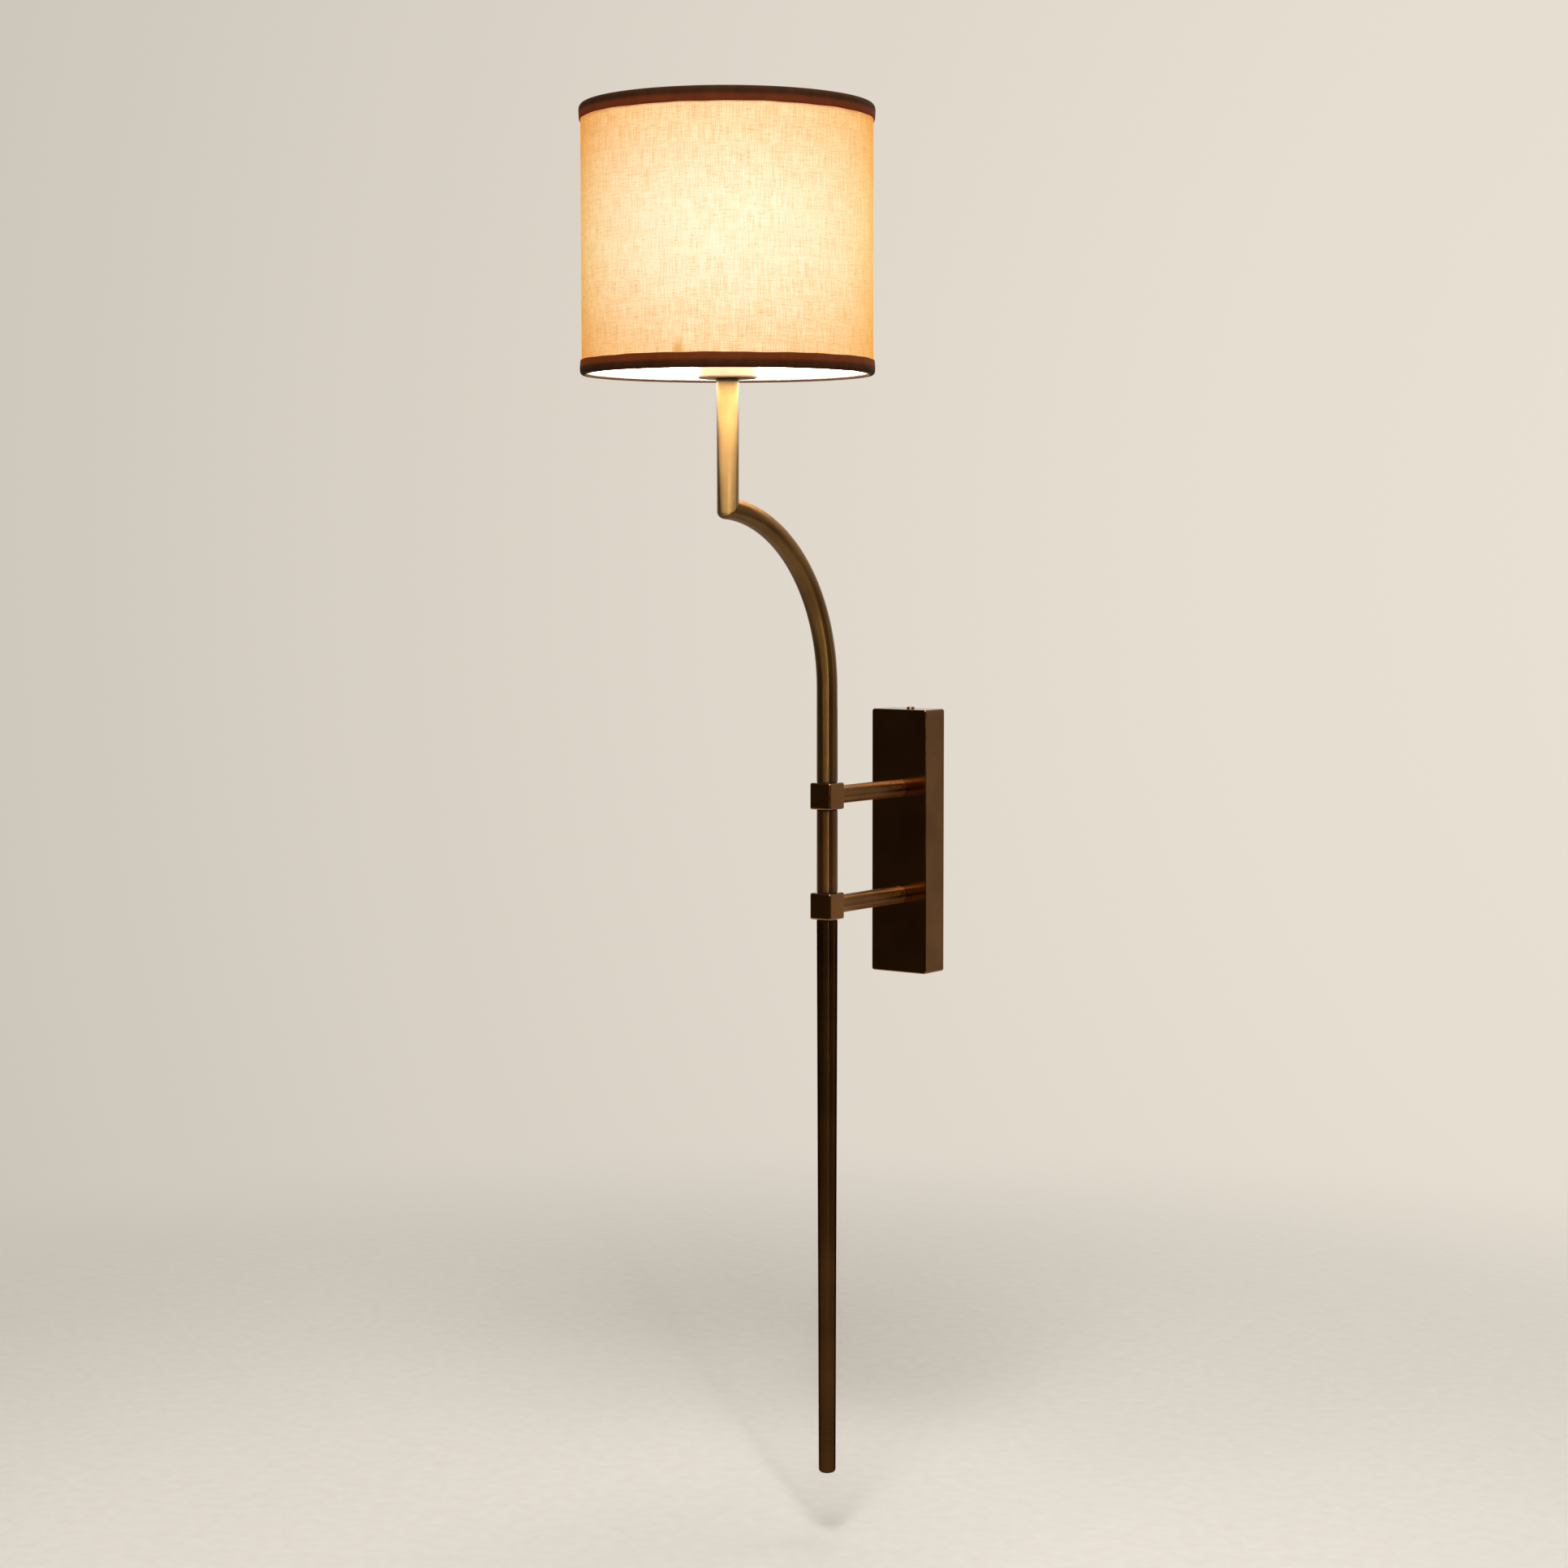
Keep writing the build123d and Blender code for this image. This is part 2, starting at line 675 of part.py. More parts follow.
# Bottom frame: wire ring, bent spokes and the ring that sits on the lampholder
with BuildPart() as shade_frame:
    ring_height = shade_low + edge_margin + wire_radius
    spoke_height = fitter_low + spoke_diameter / 2
    with Locations((0, -lamp_reach, ring_height)):
        Torus(ring_radius, wire_radius)
    tube(lamp_plane(fitter_low), fitter_radius, holder_radius + hole_gap, fitter_thick)
    for number in range(spoke_count):
        angle = radians(spoke_start + 360 * number / spoke_count)
        outward = (cos(angle), sin(angle), 0)
        spoke_plane = Plane(
            origin=(0, -lamp_reach, 0), x_dir=outward, z_dir=(sin(angle), -cos(angle), 0)
        )
        with BuildLine(spoke_plane) as spoke_path:
            FilletPolyline(
                (clamp_radius + fitter_land / 2, spoke_height),
                (ring_radius, spoke_height),
                (ring_radius, ring_height),
                radius=spoke_bend,
            )
        with BuildSketch(Plane(origin=spoke_path.line @ 0, z_dir=outward)):
            Circle(spoke_diameter / 2)
        sweep(path=spoke_path.line)
save(shade_frame, "shade_frame")

# Trims folded over the two edges of the shade
for label, edge, up in (("top_trim", shade_top, -1), ("bottom_trim", shade_low, 1)):
    with BuildPart() as trim:
        with BuildSketch(lamp_section()):
            with BuildLine():
                Polyline(
                    (shade_diameter / 2, edge),
                    (shade_diameter / 2, edge + up * trim_height),
                    (shade_diameter / 2 - trim_thick, edge + up * trim_height),
                    (shade_diameter / 2 - trim_thick, edge + up * trim_thick),
                    (lip_radius, edge + up * trim_thick),
                    (lip_radius, edge + up * trim_lip),
                    (lip_radius - trim_thick, edge + up * trim_lip),
                    (lip_radius - trim_thick, edge),
                    close=True,
                )
            make_face()
        revolve(axis=lamp_axis)
        rims = edges().filter_by(GeomType.CIRCLE)
        rolled = rims.filter_by_position(Axis.Z, edge - pick_band, edge + pick_band)
        fillet(rolled, radius=trim_thick * 0.9)
    save(trim, label)

# Flex in the fixed arm, from the terminal block to the chamber of the upper block
with BuildPart() as fixed_flex:
    with BuildLine(Plane.YZ) as fixed_path:
        FilletPolyline(
            (-flex_depth, terminal_top),
            (-flex_depth, upper_height),
            (-(swing_reach - block_bore_radius - end_gap), upper_height),
            radius=flex_bend,
        )
    with BuildSketch(Plane.XY.offset(terminal_top)):
        with Locations((0, -flex_depth)):
            Circle(flex_diameter / 2)
    sweep(path=fixed_path.line)
save(fixed_flex, "fixed_flex")

# Flex in the swinging arm, from the spindle to the lampholder
with BuildPart() as swing_flex:
    run_angle = bend_angle - radians(flex_lead)
    with BuildLine(Plane.YZ) as swing_path:
        Line((-swing_reach, upper_height), (-swing_reach, bend_height))
        run = CenterArc(
            (-swing_reach - bend_radius, bend_height), bend_radius, 0, degrees(run_angle)
        )
        run_out = (lamp_reach + (run @ 1).Y) / sin(run_angle)
        corner = run @ 1 + (run % 1) * run_out
        FilletPolyline(
            run @ 1,
            corner,
            (-lamp_reach, skirt_low - glue_gap),
            radius=flex_bend,
        )
    with BuildSketch(swing_plane(upper_height)):
        Circle(flex_diameter / 2)
    sweep(path=swing_path.line)
save(swing_flex, "swing_flex")
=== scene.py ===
"""Swing arm wall sconce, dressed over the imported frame.

The frame gives every solid at its real size and place. This script gives the solids their finishes,
makes the cloth of the drum shade as new pieces, and sets up the studio and the camera.
Units are metres. The wall is the plane y = 0, the room lies towards -Y and Z is up.
"""

from __future__ import annotations

import logging
import math
from dataclasses import dataclass
from enum import Enum
from typing import Any, Callable, ClassVar, Mapping, Optional, Sequence, Union

import bpy
from mathutils import Matrix, Vector

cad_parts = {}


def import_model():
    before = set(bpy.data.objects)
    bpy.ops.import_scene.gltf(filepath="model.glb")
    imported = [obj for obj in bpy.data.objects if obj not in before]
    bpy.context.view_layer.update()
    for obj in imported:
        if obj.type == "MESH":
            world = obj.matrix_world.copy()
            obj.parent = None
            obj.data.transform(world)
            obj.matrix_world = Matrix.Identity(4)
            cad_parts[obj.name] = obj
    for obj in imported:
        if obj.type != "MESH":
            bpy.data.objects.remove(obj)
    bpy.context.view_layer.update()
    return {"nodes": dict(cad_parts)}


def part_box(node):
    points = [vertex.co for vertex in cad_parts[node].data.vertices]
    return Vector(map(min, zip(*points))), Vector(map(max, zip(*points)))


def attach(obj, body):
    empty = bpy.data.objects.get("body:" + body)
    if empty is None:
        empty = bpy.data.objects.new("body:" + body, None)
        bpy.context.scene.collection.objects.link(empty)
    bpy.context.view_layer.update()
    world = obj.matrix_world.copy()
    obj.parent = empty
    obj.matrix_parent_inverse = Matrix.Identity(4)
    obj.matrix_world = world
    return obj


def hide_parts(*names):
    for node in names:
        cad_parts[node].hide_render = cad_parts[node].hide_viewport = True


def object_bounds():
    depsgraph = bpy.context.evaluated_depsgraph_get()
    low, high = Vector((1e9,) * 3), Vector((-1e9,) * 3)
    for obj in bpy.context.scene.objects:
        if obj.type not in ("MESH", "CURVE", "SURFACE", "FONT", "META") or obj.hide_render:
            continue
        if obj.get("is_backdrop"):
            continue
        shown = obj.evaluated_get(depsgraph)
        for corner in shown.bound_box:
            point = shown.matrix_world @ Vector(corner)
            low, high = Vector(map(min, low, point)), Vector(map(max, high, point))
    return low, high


LOG = logging.getLogger("sconce")
MM = 0.001

Colour = tuple[float, float, float, float]
Triple = tuple[float, float, float]
Span = tuple[float, float]
Pair = tuple[float, float]
Socket = bpy.types.NodeSocket
Paint = Union[Socket, str]
Outline = Callable[[float], list[Pair]]

# Whole range of a share, and the band that most values of a noise texture lie in
UNIT: Span = (0.0, 1.0)
NOISE_BAND: Span = (0.3, 0.7)
# Length of one band of a wave texture at scale 1
WAVE_LENGTH = math.tau / 20
# Radians between the starts of two waves of a hand-laid edge
WAVE_START = 1.7
NO_LIGHT = "#000000"


def linear(code: str) -> Colour:
    """Turn an sRGB hex colour into the linear colour that shader sockets take."""
    levels = [int(code[start : start + 2], 16) / 255 for start in (1, 3, 5)]
    red, green, blue = (
        level / 12.92 if level <= 0.04045 else ((level + 0.055) / 1.055) ** 2.4 for level in levels
    )
    return (red, green, blue, 1.0)


def wander(angle: float, waves: Sequence[int]) -> float:
    """Uneven drift of a hand-laid edge round a ring, about -1 to 1 and the same at every run.

    Args:
        angle: Place round the ring, in radians.
        waves: How many whole waves each part of the drift makes in one turn.

    Returns:
        The drift at that angle.
    """
    return sum(math.sin(count * angle + WAVE_START * count) for count in waves) / len(waves)


class Canvas:
    """Node tree of one material or of the world."""

    def __init__(self, tree: bpy.types.NodeTree) -> None:
        """Start from an empty tree."""
        self.tree = tree
        self.tree.nodes.clear()

    def add(
        self,
        kind: str,
        inputs: Optional[Mapping[Union[str, int], Any]] = None,
        out: Union[str, int] = 0,
        **settings: Any,
    ) -> Optional[Socket]:
        """Add one node with its settings and links.

        Args:
            kind: Type of the node, without the words that every shader node's type starts with.
            inputs: For each input, by name or number, a socket to link, a constant or a hex colour.
            out: Output that the caller goes on from, by name or number.
            settings: Properties of the node itself.

        Returns:
            The chosen output, or None for a node without outputs.
        """
        node = self.tree.nodes.new("ShaderNode" + kind)
        for key, value in settings.items():
            setattr(node, key, value)
        for key, value in (inputs or {}).items():
            if isinstance(value, bpy.types.NodeSocket):
                self.tree.links.new(value, node.inputs[key])
            else:
                node.inputs[key].default_value = linear(value) if isinstance(value, str) else value
        return node.outputs[out] if node.outputs else None

    def place(self) -> Socket:
        """Add the coordinates on the piece, in metres."""
        return self.add("TexCoord", out="Object")

    def math(self, operation: str, *values: Union[Socket, float], label: str = "") -> Socket:
        """Add a node that works on numbers."""
        return self.add("Math", dict(enumerate(values)), operation=operation, label=label)

    def vector(self, operation: str, *values: Any) -> Socket:
        """Add a node that works on vectors, and gives a number where it measures them."""
        out = "Value" if operation in ("DOT_PRODUCT", "LENGTH") else "Vector"
        return self.add("VectorMath", dict(enumerate(values)), out, operation=operation)


@dataclass(frozen=True)
class Finish:
    """Surface finish that becomes one material."""

    name: str
    made: ClassVar[dict[str, bpy.types.Material]] = {}

    def material(self) -> bpy.types.Material:
        """Return this finish's material, which is made on first use."""
        if self.name not in Finish.made:
            material = bpy.data.materials.new(self.name)
            material.use_nodes = True
            canvas = Canvas(material.node_tree)
            canvas.add("OutputMaterial", {"Surface": self.paint(canvas)})
            Finish.made[self.name] = material
        return Finish.made[self.name]

    def paint(self, canvas: Canvas) -> Socket:
        """Lay the finish's nodes and return its shader."""
        raise NotImplementedError

    @staticmethod
    def noise(canvas: Canvas, place: Socket, size: Union[float, Triple], detail: float = 3.0) -> Socket:
        """Cloudy pattern whose patches have a real size.

        Args:
            canvas: Tree to add to.
            place: Coordinates in metres.
            size: Size of a patch in metres, the same all ways or one for each axis.
            detail: Number of finer layers.

        Returns:
            A value about 0.5, mostly in NOISE_BAND.
        """
        sizes = size if isinstance(size, tuple) else (size, size, size)
        scaled = canvas.vector("MULTIPLY", place, tuple(1 / each for each in sizes))
        return canvas.add("TexNoise", {"Vector": scaled, "Scale": 1.0, "Detail": detail})

    @staticmethod
    def bands(
        canvas: Canvas, place: Socket, pitch: float, way: str = "X", waver: float = 0.0, bend: float = 1.0
    ) -> Socket:
        """Soft bands at a real pitch.

        Args:
            canvas: Tree to add to.
            place: Coordinates in metres.
            pitch: Distance from one band to the next, in metres.
            way: Direction in which the bands follow one another.
            waver: How far the bands wander off the straight.
            bend: How close their bends lie.

        Returns:
            A value from 0 between the bands to 1 on them.
        """
        inputs = {"Vector": place, "Scale": WAVE_LENGTH / pitch, "Distortion": waver, "Detail Scale": bend}
        return canvas.add("TexWave", inputs, out="Fac", bands_direction=way)

    @staticmethod
    def ramp(canvas: Canvas, value: Socket, span: Span, to: Span = UNIT, curve: str = "LINEAR") -> Socket:
        """Carry a value from one range to another, held at both ends."""
        return canvas.add(
            "MapRange",
            {"Value": value, "From Min": span[0], "From Max": span[1], "To Min": to[0], "To Max": to[1]},
            interpolation_type=curve,
        )

    @staticmethod
    def bump(canvas: Canvas, height: Socket, depth: float, strength: float) -> Socket:
        """Relief with a real depth, in metres."""
        return canvas.add("Bump", {"Strength": strength, "Distance": depth, "Height": height})

    @staticmethod
    def blend(canvas: Canvas, share: Socket, first: Paint, second: Paint) -> Socket:
        """Colour between two colours."""
        return canvas.add("Mix", {0: share, 6: first, 7: second}, out=2, data_type="RGBA")


class Grain(Enum):
    """Way that a brass piece was polished, which sets how its highlights spread."""

    UPRIGHT_ROD = "spun about an upright axis"
    LEVEL_ROD = "spun about a level axis"
    BENT_ROD = "polished along the bend"
    BUFFED = "buffed all ways"


@dataclass(frozen=True)
class AntiqueBrass(Finish):
    """Antique brass tube, cup and box: brass darkened in a bath, relieved on a mop and lacquered.

    The eye gets a brown metal with golden lights. The polishing lines run round each rod, so that
    reflections stay crisp across it and draw out along it. Each corner is relieved to a brighter brass,
    which on buffed pieces is real wear and is also set brighter as a painted highlight of edge glints.
    Brown patina stays in clouds and in the mitre joint, and the lacquer adds a thin clear gloss.
    The bend's centre, the elbow and the mitre lie where the part's source has them.
    """

    grain: Grain = Grain.BUFFED
    relieved: str = "#946637"
    patina: str = "#774d26"
    # worn: brass of each relieved corner, set brighter than wear alone as a painted highlight of edge glints
    worn: str = "#d9b077"
    oxide: str = "#3a2614"
    edge: str = "#ffffff"
    roughness: float = 0.12
    gloss_spread: float = 0.03
    lacquer: float = 0.1
    lacquer_roughness: float = 0.1
    cloud: float = 34 * MM
    cloud_detail: float = 4.0
    cloud_band: Span = (0.34, 0.66)
    cloud_share: float = 0.7
    polish_line: float = 0.4 * MM
    line_stretch: float = 40.0
    line_detail: float = 2.0
    line_share: float = 0.16
    corner: float = 0.9 * MM
    corner_band: Span = (0.995, 0.90)
    wear_and_glint_share: float = 0.8
    bend_centre: Triple = (0.0, -243.0 * MM, 116.4 * MM)
    elbow: Triple = (0.0, -233.0 * MM, 243.0 * MM)
    mitre_normal: Triple = (0.0, -0.6786, 0.7345)
    joint_line: float = 0.35 * MM
    joint_core: float = 0.3

    def paint(self, canvas: Canvas) -> Socket:
        """Lay the patina, the polishing lines, the worn edges with their painted glint, and the lacquer."""
        place = canvas.place()
        clouds = self.noise(canvas, place, self.cloud, self.cloud_detail)
        clouds = self.ramp(canvas, clouds, self.cloud_band)
        lines = self.noise(canvas, place, self.line_size(), self.line_detail)
        streaks = self.ramp(canvas, lines, NOISE_BAND, (0.0, self.line_share))
        dull = canvas.math("MULTIPLY_ADD", clouds, self.cloud_share, streaks)
        colour = self.blend(canvas, dull, self.relieved, self.patina)
        if self.grain in (Grain.BENT_ROD, Grain.UPRIGHT_ROD):
            colour = self.blend(canvas, self.joint(canvas, place), colour, self.oxide)
        spun = self.grain is not Grain.BUFFED
        # Buffed pieces get relieved edges, which are real wear and also a painted highlight of glints
        if not spun:
            colour = self.blend(canvas, self.wear_and_glint_edges(canvas), colour, self.worn)
        gloss = self.ramp(canvas, lines, NOISE_BAND, (self.roughness, self.roughness + self.gloss_spread))
        inputs = {
            "Base Color": colour,
            "Metallic": 1.0,
            "Roughness": gloss,
            "Specular Tint": self.edge,
            "Coat Weight": self.lacquer,
            "Coat Roughness": self.lacquer_roughness,
        }
        if spun:
            inputs |= {"Anisotropic": 1.0, "Tangent": self.along(canvas, place)}
        return canvas.add("BsdfPrincipled", inputs)

    def line_size(self) -> Triple:
        """Size of a polishing line on each axis; real lines are ten times finer than these drawn ones."""
        fine, long = self.polish_line, self.line_stretch * self.polish_line
        spun = {Grain.UPRIGHT_ROD: (long, long, fine), Grain.LEVEL_ROD: (long, fine, long)}
        return spun.get(self.grain, (fine, fine, fine))

    def along(self, canvas: Canvas, place: Socket) -> Socket:
        """Direction along the rod, in which its polishing lines draw the highlights out.

        Args:
            canvas: Tree to add to.
            place: Coordinates in metres.

        Returns:
            The direction. On the curved arm it follows the bend, and is upright on the straight below.
        """
        if self.grain is Grain.UPRIGHT_ROD:
            return canvas.add("CombineXYZ", {"Z": 1.0})
        if self.grain is Grain.LEVEL_ROD:
            return canvas.add("CombineXYZ", {"Y": 1.0})
        sideways, bend_plane, never_down = (1.0, 0.0, 0.0), (0.0, 1.0, 1.0), (0.0, -1.0, 0.0)
        arm = canvas.vector("SUBTRACT", place, self.bend_centre)
        arm = canvas.vector("MULTIPLY", arm, bend_plane)
        arm = canvas.vector("MAXIMUM", arm, never_down)
        along = canvas.vector("CROSS_PRODUCT", sideways, arm)
        along = canvas.vector("NORMALIZE", along)
        return canvas.add(
            "VectorTransform", {0: along}, vector_type="VECTOR", convert_from="OBJECT", convert_to="WORLD"
        )

    def joint(self, canvas: Canvas, place: Socket) -> Socket:
        """Mask of the fine dark line where the riser meets the curved arm."""
        arm = canvas.vector("SUBTRACT", place, self.elbow)
        off = canvas.vector("DOT_PRODUCT", arm, self.mitre_normal)
        off = canvas.math("ABSOLUTE", off)
        return self.ramp(canvas, off, (self.joint_core * self.joint_line, self.joint_line), (1.0, 0.0))

    def wear_and_glint_edges(self, canvas: Canvas) -> Socket:
        """Mask of the edges that the mop has relieved, which also carry a painted highlight of glints."""
        rounded = canvas.add("Bevel", {"Radius": self.corner}, samples=4)
        straight = canvas.add("NewGeometry", out="Normal")
        level = canvas.vector("DOT_PRODUCT", rounded, straight)
        return self.ramp(canvas, level, self.corner_band, (0.0, self.wear_and_glint_share))


@dataclass(frozen=True)
class PlainMetal(Finish):
    """Turned brass, zinc plated steel or nickel plate on the small working parts.

    The eye gets a clean satin metal, slightly clouded by handling, with fine tool marks.
    """

    bright: str = "#cda867"
    clouded: str = "#a98445"
    roughness: float = 0.28
    gloss_spread: float = 0.14
    cloud: float = 6 * MM
    cloud_band: Span = (0.35, 0.68)
    tool_mark: float = 0.35 * MM
    mark_stretch: float = 40.0
    mark_depth: float = 0.02 * MM
    mark_relief: float = 0.15

    def paint(self, canvas: Canvas) -> Socket:
        """Lay the clouding and the tool marks, which are drawn coarser than real so that they show."""
        place = canvas.place()
        clouds = self.ramp(canvas, self.noise(canvas, place, self.cloud), self.cloud_band)
        colour = self.blend(canvas, clouds, self.bright, self.clouded)
        gloss = self.ramp(canvas, clouds, UNIT, (self.roughness, self.roughness + self.gloss_spread))
        long = self.mark_stretch * self.tool_mark
        marks = self.noise(canvas, place, (long, long, self.tool_mark))
        relief = self.bump(canvas, marks, self.mark_depth, self.mark_relief)
        return canvas.add(
            "BsdfPrincipled",
            {"Base Color": colour, "Metallic": 1.0, "Roughness": gloss, "Normal": relief},
        )


@dataclass(frozen=True)
class Moulded(Finish):
    """Moulded nylon, phenolic, rubber or lamp plastic, and the glazed ceramic of the lampholder.

    The eye gets one even colour with a faint flow mottle and the fine grain of the mould.
    """

    light: str = "#2a2623"
    dark: str = "#1d1a18"
    roughness: float = 0.45
    gloss_spread: float = 0.1
    ior: float = 1.5
    mottle: float = 5 * MM
    mould_grain: float = 0.4 * MM
    grain_depth: float = 0.03 * MM
    relief: float = 0.15

    def paint(self, canvas: Canvas) -> Socket:
        """Lay the flow mottle and the mould's grain, drawn coarser than real so that it shows."""
        place = canvas.place()
        flow = self.ramp(canvas, self.noise(canvas, place, self.mottle), NOISE_BAND)
        colour = self.blend(canvas, flow, self.light, self.dark)
        gloss = self.ramp(canvas, flow, UNIT, (self.roughness, self.roughness + self.gloss_spread))
        grain = self.noise(canvas, place, self.mould_grain)
        relief = self.bump(canvas, grain, self.grain_depth, self.relief)
        return canvas.add(
            "BsdfPrincipled", {"Base Color": colour, "Roughness": gloss, "IOR": self.ior, "Normal": relief}
        )


@dataclass(frozen=True)
class GoldFlex(Finish):
    """Round mains flex with a clear gold sheath over two twisted cores.

    The eye gets a glossy amber skin with the lay of the cores showing as slow slanted bands.
    """

    sheath: str = "#c9a765"
    core: str = "#8a6a35"
    lay: float = 24 * MM
    slant: Triple = (1.0, 0.7, 0.7)
    waver: float = 0.4
    gloss: Span = (0.18, 0.26)
    ior: float = 1.53

    def paint(self, canvas: Canvas) -> Socket:
        """Lay the slanted bands of the cores under the gloss."""
        place = canvas.place()
        turn = canvas.vector("MULTIPLY", place, self.slant)
        cores = self.bands(canvas, turn, self.lay, waver=self.waver)
        colour = self.blend(canvas, cores, self.sheath, self.core)
        gloss = self.ramp(canvas, cores, UNIT, self.gloss)
        return canvas.add("BsdfPrincipled", {"Base Color": colour, "Roughness": gloss, "IOR": self.ior})


@dataclass(frozen=True)
class OpalGlobe(Finish):
    """Opal diffuser of the lit bulb: moulded milky polycarbonate.

    The eye gets an even warm white, a little deeper near the seam where the driver shades it.
    """

    crown: str = "#fff0d2"
    seam: str = "#ffdca8"
    level: float = 9.0
    milk_patch: float = 8 * MM
    milk: Span = (0.92, 1.0)
    roughness: float = 0.3
    ior: float = 1.58

    def paint(self, canvas: Canvas) -> Socket:
        """Lay the glow, which deepens towards the seam."""
        low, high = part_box("bulb_globe")
        place = canvas.place()
        height = canvas.add("SeparateXYZ", {0: place}, out="Z")
        rise = self.ramp(canvas, height, (low.z, (low.z + high.z) / 2))
        milk = self.ramp(canvas, self.noise(canvas, place, self.milk_patch), NOISE_BAND, self.milk)
        share = canvas.math("MULTIPLY", rise, milk)
        glow = self.blend(canvas, share, self.seam, self.crown)
        return canvas.add(
            "BsdfPrincipled",
            {
                "Base Color": glow,
                "Roughness": self.roughness,
                "IOR": self.ior,
                "Emission Color": glow,
                "Emission Strength": self.level,
            },
        )


@dataclass(frozen=True)
class LampGlow:
    """How the light of the bulb falls on the drum round it."""

    centre: Vector
    radius: float
    fall: ClassVar[float] = -1.5

    def level(self, canvas: Canvas, place: Socket) -> Socket:
        """Light on the drum's wall against that at the light's own height.

        Args:
            canvas: Tree to add to.
            place: Coordinates in metres.

        Returns:
            1 level with the light, falling as the cube of the cosine above and below it.
        """
        height = canvas.add("SeparateXYZ", {0: place}, out="Z")
        rise = canvas.math("SUBTRACT", height, self.centre.z)
        slope = canvas.math("DIVIDE", rise, self.radius)
        square = canvas.math("MULTIPLY_ADD", slope, slope, 1.0)
        return canvas.math("POWER", square, self.fall)


@dataclass(frozen=True)
class ClothLayer:
    """One kind of unevenness in a cloth, and how much light it holds back where it is thick.

    The size is that of a patch round the drum, up the drum and off the flat cloth. The band is where
    the noise counts as thin and as thick.
    """

    size: Union[float, Triple]
    detail: float
    band: Span
    share: float


